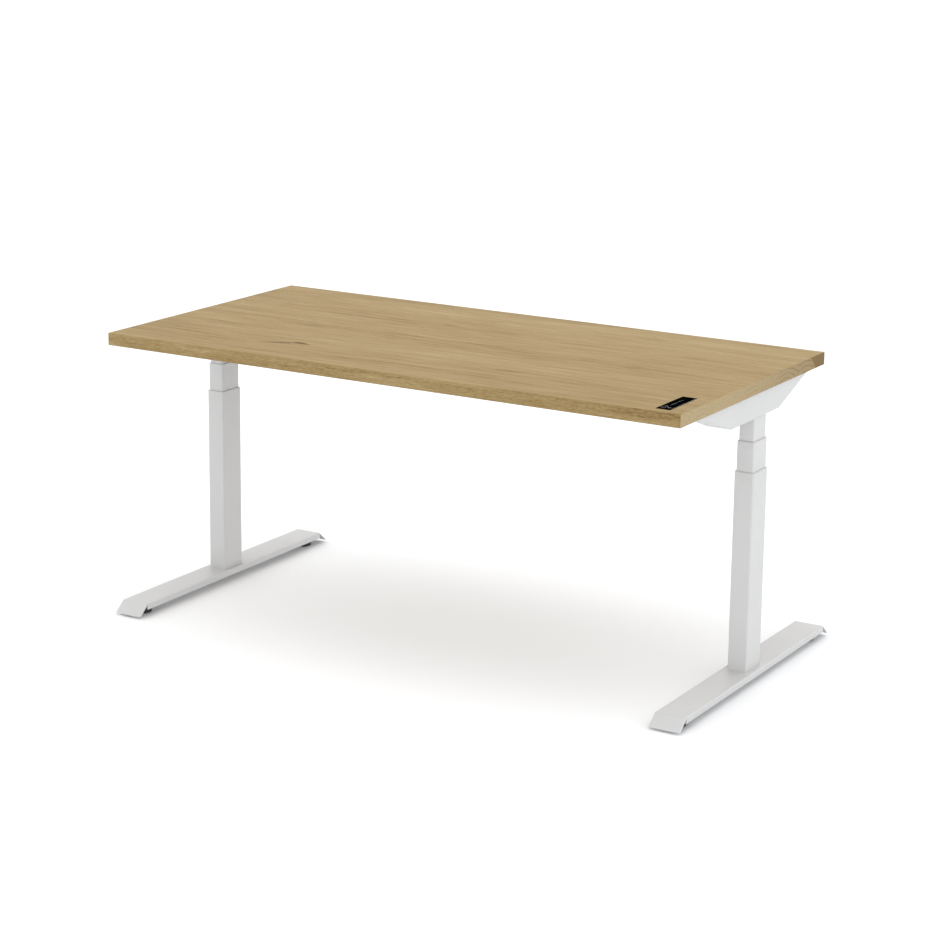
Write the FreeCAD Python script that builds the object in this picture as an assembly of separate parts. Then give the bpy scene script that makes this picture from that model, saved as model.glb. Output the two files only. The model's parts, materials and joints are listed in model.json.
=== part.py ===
"""Height adjustable standing desk: an oak top on a white steel frame with two motor-driven
three-stage lifting columns, each on a folded steel foot with two levelling glides.

Frame: +Z up, +X to the user's right, +Y away from the user. The origin is on the floor, under the
middle of the whole desk. Lengths are in millimetres. The desk is modelled at sitting height, with
each telescope stage part of the way up. Every shape is built at the right-hand column and mirrored
for the left one.
"""

import FreeCAD
import Part

import math
import os

V = FreeCAD.Vector
UP = V(0, 0, 1)
ALONG_X = V(1, 0, 0)

# Driving dimensions
TOP_WIDTH = 1600.0
TOP_DEPTH = 800.0
TOP_THICKNESS = 32.0
DESK_HEIGHT = 750.0
TOP_EASING = 2.0  # radius on every edge of the wood

COLUMN_X = 772.0  # from the middle of the desk to the column's axis
SETBACK = 47.0  # the columns stand this far behind the middle of the top

FOOT_WIDTH = 80.0
FOOT_HEIGHT = 33.0
FOOT_FLAT = 790.0  # length of the level part
TONGUE_RUN = 32.0  # how far each sloping end reaches past the level part
TONGUE_TIP = 6.0  # height of the sloping end above the floor
FOOT_SHEET = 3.0
FOOT_SIDE = 15.0  # depth of the folded side
FOOT_SLIT = 2.0  # between a folded side's end and the sloping end
FOOT_BEND = 4.0
RAIL_BAR = (60.0, 764.0, 5.0)  # flat bar under the foot's top: width, length, thickness
GLIDE_BOSS = (9.0, 7.0)  # radius, and depth below the bar
BASE_PLATE = 8.0

OUTER_TUBE = (50.0, 80.0, 4.0)  # across X, across Y, corner radius
MIDDLE_TUBE = (44.0, 74.0, 3.5)
INNER_TUBE = (38.0, 68.0, 3.0)
TUBE_WALL = 2.0
SLIDE_PLAY = 0.1  # running clearance of plastic on steel

OUTER_TUBE_TOP = 524.0
MIDDLE_TUBE_TOP = 598.0
STAGE_TRAVEL = 325.0  # of one stage, from fully in to fully out
STAGE_NOW = 42.0  # how far out each stage is as modelled
MIDDLE_TUBE_IN = 9.0  # middle tube's lower end above the base plate, fully in
INNER_TUBE_IN = 31.0  # inner tube's lower end above the middle tube's, fully in

BRACKET_HEIGHT = 61.0
BRACKET_BOTTOM = 266.0  # length of its lower edge
BRACKET_TOP = 606.0  # length of its upper edge
BRACKET_FORWARD = 33.0  # from the column's axis to the bracket's middle, towards the front
BRACKET_WIDTH = 60.0
BRACKET_FACE = 22.0  # from the column's axis out to its outer face
BRACKET_SHEET = 2.5
BRACKET_CORNER = 14.0
BRACKET_EDGE = 2.4  # bend radius round the outer face
DRIVE_HOLE_R = 12.5

RAIL_SECTION = (30.0, 40.0)  # across Y, across Z
RAIL_WALL = 2.0
RAIL_BEND = 3.0
RAIL_OFFSET = 77.0  # from the column's axis to each rail, along Y
RAIL_END_GAP = 5.0  # left between a rail's end and the bracket's web

GUIDE_DEPTH = 40.0  # plastic sleeve in the mouth of a tube
GUIDE_LIP = 1.5
GUIDE_INSET = 0.4  # of the lip's edge from the tube's face
HEAD_PLATE = 8.0

FIXED_SCREW_R = 6.0
FIXED_SCREW_LENGTH = STAGE_TRAVEL + 45.0  # above the base plate
HOLLOW_SCREW_LENGTH = STAGE_TRAVEL + 67.0
LOWER_NUT_LENGTH = 22.0  # threaded bore in the hollow screw's lower end
SPLINE_LENGTH = 20.0  # splined bore in its upper end
JOURNAL_LENGTH = 12.0
DRIVE_TUBE_R = 8.5
DRIVE_TUBE_BORE_R = 6.5
HOLLOW_SCREW_R = 13.0
HOLLOW_SCREW_BORE_R = 9.0
HOLLOW_JOURNAL_R = 12.5
SCREW_PLAY = 0.05  # radial clearance of a running thread, spline or journal
BEARING_R = 18.5
BEARING_HEIGHT = 7.0
UPPER_NUT_R = 15.5
UPPER_NUT_LENGTH = 24.0
PLUG_FLANGE = 6.0  # sliding flange of the plug in a tube's lower end
PLUG_FLOOR = 3.0  # under the bearing or the nut that the plug holds
MIDDLE_PLUG_DEPTH = 18.0
INNER_PLUG_DEPTH = 22.0

WHEEL_R = 15.0
WHEEL_TEETH = 28
WHEEL_WIDTH = 12.0
WHEEL_HUB = (11.0, 22.0)  # radius, length
TOOTH_GAP_R = 1.15
WORM_R = 6.0
WORM_LENGTH = 19.0
WORM_THREAD_DEPTH = 1.6
WORM_GROOVE = 1.8
WORM_GAP = 0.3  # between the two tip circles
SHAFT_R = 3.0
MOTOR_R = 20.0
MOTOR_LENGTH = 95.0
MOTOR_BOSS = (9.0, 6.0)  # at its free end: radius, length
MOTOR_SOCKET = (22.0, 16.0)  # along X, across Y
SHAFT_IN_MOTOR = 83.0
SOCKET_FROM_END = 8.0  # from the motor's free end to the socket of its lead
LEAD_OUT = 25.0  # from the motor's axis up to its lead

GLIDE_Y = 365.0  # from the column's axis to each levelling glide
GLIDE_PAD_R = 24.0
GLIDE_PAD_HEIGHT = 10.0
GLIDE_HEX = 17.0  # across flats, and its top's height above the floor
GLIDE_STUD_R = 4.0
GLIDE_HEAD = (7.0, 2.0)  # the stud's round foot inside the pad: radius, thickness
GLIDE_HEAD_LOW = 4.0

PANEL_SIZE = (37.0, 138.0)
PANEL_FROM_RIGHT = 56.5  # middle of the panel, from the top's right edge
PANEL_FROM_FRONT = 93.0  # middle of the panel, from the top's front edge

PANEL_RIM = 1.8  # thickness of the glass's hidden edge, and of the tray's rim under it
PANEL_DEPTH = 26.0
PANEL_WALL = 2.0
GLASS_PROUD = 0.2
GLASS_BEVEL = 0.25
POCKET_GAP = 0.4

BOX_SIZE = (280.0, 100.0, 38.0)  # control box
BOX_WALL = 2.0
BOX_EAR = 18.0
BOX_ROUND = 4.0
INLET_SIZE = (22.0, 26.0, 18.0)
INLET_MOUTH = (17.0, 9.4)
INLET_PLACE = (20.0, 20.0)  # from the box's middle line, and above its floor
INLET_PROUD = 1.5

MOTOR_LEAD_R = 3.0
PANEL_LEAD_R = 2.0
LEAD_GAP = 1.0  # between a clipped lead and the top
LEAD_ENTRY = (-25.0, 20.0)  # into the control box: from its middle, and above its floor
PANEL_LEAD_ENTRY = 27.0  # above the box's floor, to clear the front rail
PANEL_LEAD_DROP = 21.0  # how far its loop hangs below the top

# Screws: shank radius, head radius, head height, and the radius of a clearance hole
M8 = (3.9, 7.0, 4.5)
M8_HOLE_R = 4.3
M8_TAPPED_R = 4.0
M6_CAP = (2.9, 5.0, 6.0)
M6_BUTTON = (2.9, 5.5, 3.5)
M6_HOLE_R = 3.2
M6_TAPPED_R = 3.0
WOOD_SCREW = (2.4, 5.0, 3.0)
WOOD_SCREW_HOLE_R = 2.7
WOOD_SCREW_DEPTH = 19.0  # into the top
PILOT_R = 2.5

# Worked out from those
FOOT_LENGTH = FOOT_FLAT + 2 * TONGUE_RUN
COLUMN_Y = (SETBACK - (FOOT_LENGTH - TOP_DEPTH) / 2) / 2
TOP_Y = COLUMN_Y - SETBACK
UNDERSIDE = DESK_HEIGHT - TOP_THICKNESS
BRACKET_LOW = UNDERSIDE - BRACKET_HEIGHT
FLANGE_TOP = BRACKET_LOW + BRACKET_SHEET
BASE_TOP = FOOT_HEIGHT + BASE_PLATE
MIDDLE_TUBE_LOW = BASE_TOP + MIDDLE_TUBE_IN + STAGE_NOW
INNER_TUBE_LOW = MIDDLE_TUBE_LOW + INNER_TUBE_IN + STAGE_NOW
RAIL_TOP = FOOT_HEIGHT - FOOT_SHEET
RAIL_LOW = RAIL_TOP - RAIL_BAR[2]

WORM_Y = WHEEL_R + WORM_R + WORM_GAP
GEAR_Z = FLANGE_TOP + 23.5
CASE_X = (-27.0, 18.5)  # gearbox, from the column's axis
CASE_Y = (-33.0, 37.0)
CASE_TOP = FLANGE_TOP + 46.5
CASE_FLOOR = 6.0  # under the heads of the screws that hold it
CASE_ROUND = 3.0
POCKET_X = (-20.0, 15.6)  # room for worm and wheel inside it
POCKET_Y = (-17.0, 31.0)
POCKET_LOW = FLANGE_TOP + 11.5
COVER_THICK = 6.0
HEAD_BOLTS = [(x, y) for x in (-11.0, 11.0) for y in (-25.0, 25.0)]
COLUMN_BOLTS = [(x, y) for x in (-14.0, 14.0) for y in (-28.0, 28.0)]
TOP_SCREWS = [(-7.0, y - BRACKET_FORWARD) for y in (-255.0, -170.0, 170.0, 255.0)]
LID_EAR = (BOX_SIZE[0] + BOX_EAR) / 2  # from the middle of the desk to a screw of the control box
LID_SCREW = (LID_EAR - COLUMN_X, 0.0)
LID_THICK = 3.0
RAIL_SCREWS = [(x, y) for x in (-26.0, 4.0) for y in (-RAIL_OFFSET, RAIL_OFFSET)]


# ---------------------------------------------------------------- helpers
def block(x, y, z):
    """A box from three (low, high) pairs, placed from the right-hand column's axis."""
    solid = Part.makeBox(x[1] - x[0], y[1] - y[0], z[1] - z[0], V(x[0], y[0], z[0]))
    return at_column(solid)


def at_column(shape):
    return shape.translated(V(COLUMN_X, COLUMN_Y, 0))


def rod(x, y, z, radius):
    """An upright cylinder at (x, y) from the column's axis, over the (low, high) pair z."""
    return at_column(Part.makeCylinder(radius, z[1] - z[0], V(x, y, z[0]), UP))


def rod_x(x, y, z, radius):
    """A cylinder along X over the (low, high) pair x."""
    return at_column(Part.makeCylinder(radius, x[1] - x[0], V(x[0], y, z), ALONG_X))


def rounded_face(size_x, size_y, radius):
    """A level rectangle about the origin, with round corners."""
    hx, hy = size_x / 2, size_y / 2
    edges = []
    corners = [(hx, hy), (-hx, hy), (-hx, -hy), (hx, -hy)]
    for i, (cx, cy) in enumerate(corners):
        sx, sy = math.copysign(1, cx), math.copysign(1, cy)
        mid = V(cx - sx * radius, cy - sy * radius, 0)
        turn = math.pi / 2 * i
        points = [
            mid + V(math.cos(turn + a), math.sin(turn + a), 0) * radius
            for a in (0, math.pi / 4, math.pi / 2)
        ]
        if edges:
            edges.append(Part.makeLine(edges[-1].Vertexes[-1].Point, points[0]))
        edges.append(Part.Arc(*points).toShape())
    edges.append(Part.makeLine(edges[-1].Vertexes[-1].Point, edges[0].Vertexes[0].Point))
    return Part.Face(Part.Wire(Part.__sortEdges__(edges)))


def rounded_bar(section, z, grow=0.0, centre=(0.0, 0.0)):
    """A bar of rounded section (size X, size Y, radius), grown by grow on every side."""
    size_x, size_y, radius = section
    face = rounded_face(size_x + 2 * grow, size_y + 2 * grow, max(radius + grow, 0.5))
    bar = face.extrude(V(0, 0, z[1] - z[0])).translated(V(centre[0], centre[1], z[0]))
    return at_column(bar)


def tube(section, z):
    return rounded_bar(section, z).cut(rounded_bar(section, z, -TUBE_WALL))


def hexagon(x, y, z, across_flats):
    radius = across_flats / math.sqrt(3)
    points = [
        V(x + radius * math.cos(math.pi / 3 * i), y + radius * math.sin(math.pi / 3 * i), z[0])
        for i in range(7)
    ]
    return at_column(Part.Face(Part.makePolygon(points)).extrude(V(0, 0, z[1] - z[0])))


def prism_x(outline, x):
    """A (y, z) outline carried along X over the (low, high) pair x."""
    points = [V(x[0], py, pz) for py, pz in outline]
    face = Part.Face(Part.makePolygon(points + points[:1]))
    return at_column(face.extrude(V(x[1] - x[0], 0, 0)))


def bolt(x, y, head_z, tip_z, shank_r, head_r, head_h):
    """A cap screw. The head is on the side of head_z that is away from tip_z."""
    up = tip_z > head_z
    shank = rod(x, y, (min(head_z, tip_z), max(head_z, tip_z)), shank_r)
    head = rod(x, y, (head_z - head_h, head_z) if up else (head_z, head_z + head_h), head_r)
    key_depth = head_h * 0.55
    key_z = (head_z - head_h, head_z - head_h + key_depth)
    if not up:
        key_z = (head_z + head_h - key_depth, head_z + head_h)
    return shank.fuse(head).removeSplitter().cut(hexagon(x, y, key_z, head_r * 0.95))


def edges_along(shape, direction, keep):
    """Straight edges parallel to direction whose middle passes the test keep."""
    found = []
    for edge in shape.Edges:
        if isinstance(edge.Curve, Part.Line) and edge.Curve.Direction.cross(direction).Length < 1e-6:
            if keep(edge.CenterOfMass):
                found.append(edge)
    return found


def edges_at(shape, z):
    """Round edges that lie level at height z."""
    level = [e for e in shape.Edges if abs(e.CenterOfMass.z - z) < 1e-3]
    return [e for e in level if isinstance(e.Curve, Part.Circle)]


def edges_on_plane(shape, x):
    """Edges that lie in the upright plane at x from the column's axis."""
    found = []
    for edge in shape.Edges:
        box = edge.BoundBox
        if abs(box.XMin - COLUMN_X - x) < 1e-6 and box.XLength < 1e-6:
            found.append(edge)
    return found


# ---------------------------------------------------------------- foot
def foot_outline(inset):
    """The foot's side view, with sloping ends, moved in by the sheet's thickness inset."""
    half, run, rise = FOOT_FLAT / 2, TONGUE_RUN, FOOT_HEIGHT - TONGUE_TIP
    slope = math.hypot(run, rise)
    side_step = inset * slope / rise  # level distance between two parallel slopes
    top = FOOT_HEIGHT - inset
    top_half = half + (FOOT_HEIGHT - top) * run / rise - side_step
    low_half = half + (FOOT_HEIGHT - TONGUE_TIP) * run / rise - side_step
    return [(-low_half, TONGUE_TIP), (-top_half, top), (top_half, top), (low_half, TONGUE_TIP)]


def foot():
    """Folded sheet: a level top, two short sides and a sloping tongue at each end."""
    half_w = FOOT_WIDTH / 2
    body = prism_x(foot_outline(0), (-half_w, half_w))
    rims = [e for e in body.Edges if abs(e.CenterOfMass.z - TONGUE_TIP) > 0.1]
    body = body.makeFillet(FOOT_BEND, rims)
    inner = foot_outline(FOOT_SHEET)
    body = body.cut(prism_x(inner, (FOOT_SHEET - half_w, half_w - FOOT_SHEET)))
    side_end = FOOT_FLAT / 2 - FOOT_SLIT
    under_tongues = prism_x(inner, (-half_w - 1, half_w + 1)).cut(
        block((-half_w - 2, half_w + 2), (-side_end, side_end), (0, FOOT_HEIGHT))
    )
    body = body.cut(under_tongues)
    body = body.cut(
        block((-half_w - 1, half_w + 1), (-side_end, side_end), (0, FOOT_HEIGHT - FOOT_SIDE))
    )
    for x, y in COLUMN_BOLTS:
        body = body.cut(rod(x, y, (RAIL_LOW, FOOT_HEIGHT + 1), M8_HOLE_R))
    return body


def foot_rail():
    """Steel bar under the foot's top, with a threaded boss for each levelling glide."""
    width, length, thickness = RAIL_BAR
    boss_r, boss_depth = GLIDE_BOSS
    bar = block((-width / 2, width / 2), (-length / 2, length / 2), (RAIL_TOP - thickness, RAIL_TOP))
    for y in (-GLIDE_Y, GLIDE_Y):
        bar = bar.fuse(rod(0, y, (RAIL_LOW - boss_depth, RAIL_TOP), boss_r))
    bar = bar.removeSplitter()
    for y in (-GLIDE_Y, GLIDE_Y):
        bar = bar.cut(rod(0, y, (0, FOOT_HEIGHT), GLIDE_STUD_R + SLIDE_PLAY))
    for x, y in COLUMN_BOLTS:
        bar = bar.cut(rod(x, y, (0, FOOT_HEIGHT), M8_HOLE_R))
    return bar


def column_bolts():
    """Four button-head M8 screws up through the foot into the column's base plate."""
    tip = BASE_TOP - 1
    return Part.makeCompound([bolt(x, y, RAIL_LOW, tip, *M8) for x, y in COLUMN_BOLTS])


def glide_stud(y):
    """M8 threaded stud with a round foot that the pad is held by."""
    low, top = GLIDE_HEAD_LOW, RAIL_TOP - 0.4
    head_r, head_thick = GLIDE_HEAD
    stud = rod(0, y, (low, top), GLIDE_STUD_R).fuse(rod(0, y, (low, low + head_thick), head_r))
    stud = stud.removeSplitter()
    return stud.makeChamfer(0.8, edges_at(stud, top))


def glide_pad(y):
    """Black plastic pad with a hexagon for the fingers or a spanner."""
    height = GLIDE_PAD_HEIGHT
    head_r, head_thick = GLIDE_HEAD
    head_z = (GLIDE_HEAD_LOW - SLIDE_PLAY, GLIDE_HEAD_LOW + head_thick + SLIDE_PLAY)
    pad = rod(0, y, (0, height), GLIDE_PAD_R)
    pad = pad.makeFillet(2.5, edges_at(pad, 0))
    pad = pad.makeFillet(3.5, edges_at(pad, height))
    pad = pad.fuse(hexagon(0, y, (height - 1, GLIDE_HEX), GLIDE_HEX)).removeSplitter()
    pad = pad.cut(rod(0, y, (GLIDE_HEAD_LOW - 2, GLIDE_HEX + 3), GLIDE_STUD_R + SLIDE_PLAY))
    return pad.cut(rod(0, y, head_z, head_r + SLIDE_PLAY))


# ---------------------------------------------------------------- column
def outer_tube():
    """Outer column tube with its base plate welded in the lower end."""
    body = tube(OUTER_TUBE, (FOOT_HEIGHT, OUTER_TUBE_TOP))
    plate = rounded_bar(OUTER_TUBE, (FOOT_HEIGHT, BASE_TOP), -TUBE_WALL)
    body = body.fuse(plate).removeSplitter()
    for x, y in COLUMN_BOLTS:
        body = body.cut(rod(x, y, (0, BASE_TOP + 1), M8_TAPPED_R))
    return body.cut(rod(0, 0, (FOOT_HEIGHT + 2, BASE_TOP + 1), FIXED_SCREW_R + SCREW_PLAY))


def guide(outer, inner, top):
    """Plastic sleeve in the mouth of tube outer, with a lip over its rim, that tube inner slides in."""
    sleeve = rounded_bar(outer, (top - GUIDE_DEPTH, top), -TUBE_WALL)
    lip = rounded_bar(outer, (top, top + GUIDE_LIP), -GUIDE_INSET)
    hole = rounded_bar(inner, (top - GUIDE_DEPTH - 1, top + GUIDE_LIP + 1), SLIDE_PLAY)
    return sleeve.fuse(lip).removeSplitter().cut(hole)


def fixed_screw():
    """Solid lead screw that stands on the base plate and does not turn. Right-hand, lead 5."""
    top = BASE_TOP + FIXED_SCREW_LENGTH
    screw = rod(0, 0, (FOOT_HEIGHT + 3, top), FIXED_SCREW_R)
    return screw.makeChamfer(1.0, edges_at(screw, top))


def middle_tube():
    return tube(MIDDLE_TUBE, (MIDDLE_TUBE_LOW, MIDDLE_TUBE_TOP))


def tube_foot(own, around, low, spigot, bore_r, neck_r):
    """Plastic plug in a tube's lower end. Its flange slides in the tube around it."""
    flange = rounded_bar(around, (low - PLUG_FLANGE, low), -TUBE_WALL - SLIDE_PLAY)
    plug = rounded_bar(own, (low, low + spigot), -TUBE_WALL - SLIDE_PLAY)
    body = flange.fuse(plug).removeSplitter()
    body = body.cut(rod(0, 0, (low - PLUG_FLANGE - 1, low + spigot + 1), neck_r))
    return body.cut(rod(0, 0, (low + PLUG_FLOOR, low + spigot + 1), bore_r))


def middle_foot():
    neck_r = HOLLOW_SCREW_R + 0.5
    return tube_foot(MIDDLE_TUBE, OUTER_TUBE, MIDDLE_TUBE_LOW, MIDDLE_PLUG_DEPTH, BEARING_R, neck_r)


def screw_bearing():
    """Thrust bearing that carries the hollow screw in the middle tube's foot."""
    low = MIDDLE_TUBE_LOW + PLUG_FLOOR
    ring = rod(0, 0, (low, low + BEARING_HEIGHT), BEARING_R)
    return ring.cut(rod(0, 0, (low - 1, low + BEARING_HEIGHT + 1), HOLLOW_JOURNAL_R + SCREW_PLAY))


def hollow_screw():
    """Turning screw. Its lower end is the nut on the fixed screw, right-hand; its outside carries
    a left-hand thread of the same lead; its top is the spline bush on the drive tube."""
    low = MIDDLE_TUBE_LOW - 2
    shoulder = low + JOURNAL_LENGTH
    top = low + HOLLOW_SCREW_LENGTH
    body = rod(0, 0, (low, shoulder), HOLLOW_JOURNAL_R)
    body = body.fuse(rod(0, 0, (shoulder, top), HOLLOW_SCREW_R)).removeSplitter()
    body = body.makeChamfer(1.0, edges_at(body, top))
    body = body.cut(rod(0, 0, (low - 1, top + 1), FIXED_SCREW_R + SCREW_PLAY))
    body = body.cut(rod(0, 0, (low + LOWER_NUT_LENGTH, top - SPLINE_LENGTH), HOLLOW_SCREW_BORE_R))
    return body.cut(rod(0, 0, (top - SPLINE_LENGTH - 1, top + 1), DRIVE_TUBE_R + SCREW_PLAY))


def drive_tube():
    """Splined tube that hangs from the gearbox and turns the hollow screw."""
    low = INNER_TUBE_LOW + 14
    top = CASE_TOP + 2
    body = rod(0, 0, (low, top), DRIVE_TUBE_R)
    return body.cut(rod(0, 0, (low - 1, top - 25), DRIVE_TUBE_BORE_R))


def inner_tube():
    """Inner column tube with its head plate welded in the upper end."""
    body = tube(INNER_TUBE, (INNER_TUBE_LOW, BRACKET_LOW))
    plate_low = BRACKET_LOW - HEAD_PLATE
    plate = rounded_bar(INNER_TUBE, (plate_low, BRACKET_LOW), -TUBE_WALL)
    body = body.fuse(plate).removeSplitter()
    for x, y in HEAD_BOLTS:
        body = body.cut(rod(x, y, (plate_low - 1, BRACKET_LOW + 1), M6_TAPPED_R))
    return body.cut(rod(0, 0, (plate_low - 1, BRACKET_LOW + 1), DRIVE_HOLE_R - 0.5))


def inner_foot():
    neck_r = HOLLOW_SCREW_R + 1
    return tube_foot(INNER_TUBE, MIDDLE_TUBE, INNER_TUBE_LOW, INNER_PLUG_DEPTH, UPPER_NUT_R, neck_r)


def upper_nut():
    """Brass nut in the inner tube's foot, on the hollow screw's outer thread."""
    low = INNER_TUBE_LOW + PLUG_FLOOR
    nut = rod(0, 0, (low, low + UPPER_NUT_LENGTH), UPPER_NUT_R)
    return nut.cut(rod(0, 0, (low - 1, low + UPPER_NUT_LENGTH + 1), HOLLOW_SCREW_R + SCREW_PLAY))


# ---------------------------------------------------------------- gearbox and motor
def gearbox_housing():
    body = block(CASE_X, CASE_Y, (FLANGE_TOP, CASE_TOP))
    body = body.makeFillet(CASE_ROUND, edges_along(body, UP, lambda p: True))
    pocket = block(POCKET_X, POCKET_Y, (POCKET_LOW, CASE_TOP + 1))
    body = body.cut(pocket.makeFillet(4.0, edges_along(pocket, UP, lambda p: True)))
    body = body.cut(rod(0, 0, (0, CASE_TOP), DRIVE_TUBE_R + SCREW_PLAY))
    body = body.cut(rod_x((CASE_X[0] - 1, POCKET_X[0] + 1), WORM_Y, GEAR_Z, SHAFT_R + 1))
    for x, y in HEAD_BOLTS:
        body = body.cut(rod(x, y, (FLANGE_TOP - 1, CASE_TOP + 1), M6_HOLE_R))
        body = body.cut(rod(x, y, (FLANGE_TOP + CASE_FLOOR, CASE_TOP + 1), 5.3))
    return body


def gearbox_cover():
    plate = block(CASE_X, CASE_Y, (CASE_TOP, CASE_TOP + COVER_THICK))
    plate = plate.makeFillet(CASE_ROUND, edges_along(plate, UP, lambda p: True))
    return plate.cut(rod(0, 0, (CASE_TOP - 1, CASE_TOP + 3), DRIVE_TUBE_R + SCREW_PLAY))


def worm_wheel():
    """Worm wheel on the drive tube. The tip circles of wheel and worm only just clear."""
    hub_r, hub_length = WHEEL_HUB
    low, hub_low = GEAR_Z - WHEEL_WIDTH / 2, GEAR_Z - hub_length / 2
    wheel = rod(0, 0, (low, low + WHEEL_WIDTH), WHEEL_R)
    wheel = wheel.fuse(rod(0, 0, (hub_low, hub_low + hub_length), hub_r)).removeSplitter()
    gaps = []
    for i in range(WHEEL_TEETH):
        gap = Part.makeCylinder(TOOTH_GAP_R, WHEEL_WIDTH + 2, V(WHEEL_R, 0, low - 1), UP)
        gap.rotate(V(0, 0, 0), UP, 360.0 * i / WHEEL_TEETH)
        gaps.append(at_column(gap))
    wheel = wheel.cut(Part.makeCompound(gaps))
    return wheel.cut(rod(0, 0, (hub_low - 1, hub_low + hub_length + 1), DRIVE_TUBE_R))


def worm_shaft():
    """The motor's shaft with the single-start worm on it, drawn as rings."""
    shaft = rod_x((CASE_X[0] - SHAFT_IN_MOTOR, 13), WORM_Y, GEAR_Z, SHAFT_R)
    worm = rod_x((-WORM_LENGTH / 2, WORM_LENGTH / 2), WORM_Y, GEAR_Z, WORM_R)
    root_r, half = WORM_R - WORM_THREAD_DEPTH, WORM_GROOVE / 2
    pitch = 2 * math.pi * WHEEL_R / WHEEL_TEETH
    for i in range(-2, 3):
        middle = i * pitch
        ring = rod_x((middle - half, middle + half), WORM_Y, GEAR_Z, WORM_R + 1)
        worm = worm.cut(ring.cut(rod_x((middle - half - 1, middle + half + 1), WORM_Y, GEAR_Z, root_r)))
    return shaft.fuse(worm).removeSplitter()


def motor():
    """Motor can with a round end boss and a boss for its lead socket."""
    start, end = CASE_X[0], CASE_X[0] - MOTOR_LENGTH
    boss_r, boss_length = MOTOR_BOSS
    socket_length, socket_width = MOTOR_SOCKET
    can = rod_x((end, start), WORM_Y, GEAR_Z, MOTOR_R)
    can = can.fuse(rod_x((end - boss_length, end), WORM_Y, GEAR_Z, boss_r)).removeSplitter()
    socket_x = (end + SOCKET_FROM_END, end + SOCKET_FROM_END + socket_length)
    socket_y = (WORM_Y - socket_width / 2, WORM_Y + socket_width / 2)
    can = can.fuse(block(socket_x, socket_y, (GEAR_Z, GEAR_Z + LEAD_OUT + 5))).removeSplitter()
    return can.cut(rod_x((start - SHAFT_IN_MOTOR - 1, start + 1), WORM_Y, GEAR_Z, SHAFT_R + 0.2))


# ---------------------------------------------------------------- frame under the top
def bracket_outline(inset):
    """The side bracket's outline, a long-topped trapezium, moved in by inset."""
    half_low, half_top, rise = BRACKET_BOTTOM / 2, BRACKET_TOP / 2, BRACKET_HEIGHT
    run = half_top - half_low
    side_step = inset * math.hypot(run, rise) / rise
    middle, low, top = -BRACKET_FORWARD, BRACKET_LOW + inset, UNDERSIDE - inset
    low_half = half_low + inset * run / rise - side_step
    top_half = half_top - inset * run / rise - side_step
    sides = [(-low_half, low), (-top_half, top), (top_half, top), (low_half, low)]
    return [(middle + y, z) for y, z in sides]


def side_bracket():
    """Pressed pan: outer web, folded in at the top, the bottom and both sloping ends."""
    face, back = BRACKET_FACE, BRACKET_FACE - BRACKET_WIDTH
    body = prism_x(bracket_outline(0), (back, face))
    low_corners = edges_along(body, ALONG_X, lambda p: abs(p.z - BRACKET_LOW) < 1)
    body = body.makeFillet(BRACKET_CORNER, low_corners)
    body = body.makeFillet(BRACKET_EDGE, edges_on_plane(body, face))
    hollow = prism_x(bracket_outline(BRACKET_SHEET), (back - 1, face - BRACKET_SHEET))
    low_corners = edges_along(hollow, ALONG_X, lambda p: abs(p.z - FLANGE_TOP) < 1)
    body = body.cut(hollow.makeFillet(BRACKET_CORNER - BRACKET_SHEET, low_corners))
    body = body.cut(rod(0, 0, (BRACKET_LOW - 1, FLANGE_TOP + 1), DRIVE_HOLE_R))
    for x, y in HEAD_BOLTS + RAIL_SCREWS:
        body = body.cut(rod(x, y, (BRACKET_LOW - 1, FLANGE_TOP + 1), M6_HOLE_R))
    for x, y in TOP_SCREWS:
        body = body.cut(rod(x, y, (UNDERSIDE - 4, UNDERSIDE + 1), WOOD_SCREW_HOLE_R))
    return body


def rail(y):
    """Rectangular tube from bracket to bracket."""
    size_y, size_z = RAIL_SECTION
    reach = COLUMN_X + BRACKET_FACE - BRACKET_SHEET - RAIL_END_GAP
    y0 = COLUMN_Y + y - size_y / 2
    bar = Part.makeBox(2 * reach, size_y, size_z, V(-reach, y0, FLANGE_TOP))
    bar = bar.makeFillet(RAIL_BEND, edges_along(bar, ALONG_X, lambda p: True))
    hole = Part.makeBox(
        2 * reach + 2,
        size_y - 2 * RAIL_WALL,
        size_z - 2 * RAIL_WALL,
        V(-reach - 1, y0 + RAIL_WALL, FLANGE_TOP + RAIL_WALL),
    )
    bar = bar.cut(hole.makeFillet(RAIL_BEND - RAIL_WALL, edges_along(hole, ALONG_X, lambda p: True)))
    for x, screw_y in RAIL_SCREWS:
        if screw_y == y:
            hole = rod(x, y, (FLANGE_TOP - 1, FLANGE_TOP + 5), M6_TAPPED_R)
            bar = bar.cut(hole).cut(mirrored(hole))
    return bar


def frame_screws():
    """M6 screws: four in each column head, and two in each end of each rail."""
    seat = FLANGE_TOP + CASE_FLOOR
    made = [bolt(x, y, seat, BRACKET_LOW - HEAD_PLATE + 1, *M6_CAP) for x, y in HEAD_BOLTS]
    made += [bolt(x, y, BRACKET_LOW, FLANGE_TOP + 8, *M6_BUTTON) for x, y in RAIL_SCREWS]
    return both_sides(made)


def top_screws():
    """Wood screws up through the brackets and the control box's ears into the top."""
    under = UNDERSIDE - BRACKET_SHEET
    tip = UNDERSIDE + WOOD_SCREW_DEPTH
    made = [bolt(x, y, under, tip, *WOOD_SCREW) for x, y in TOP_SCREWS]
    made.append(bolt(*LID_SCREW, UNDERSIDE - LID_THICK, tip, *WOOD_SCREW))
    return both_sides(made)


def mirrored(shape):
    return shape.mirror(V(0, 0, 0), ALONG_X)


def both_sides(shapes):
    """A group of right-hand shapes with their mirror images, as separate solids."""
    return Part.makeCompound(shapes + [mirrored(shape) for shape in shapes])


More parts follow.
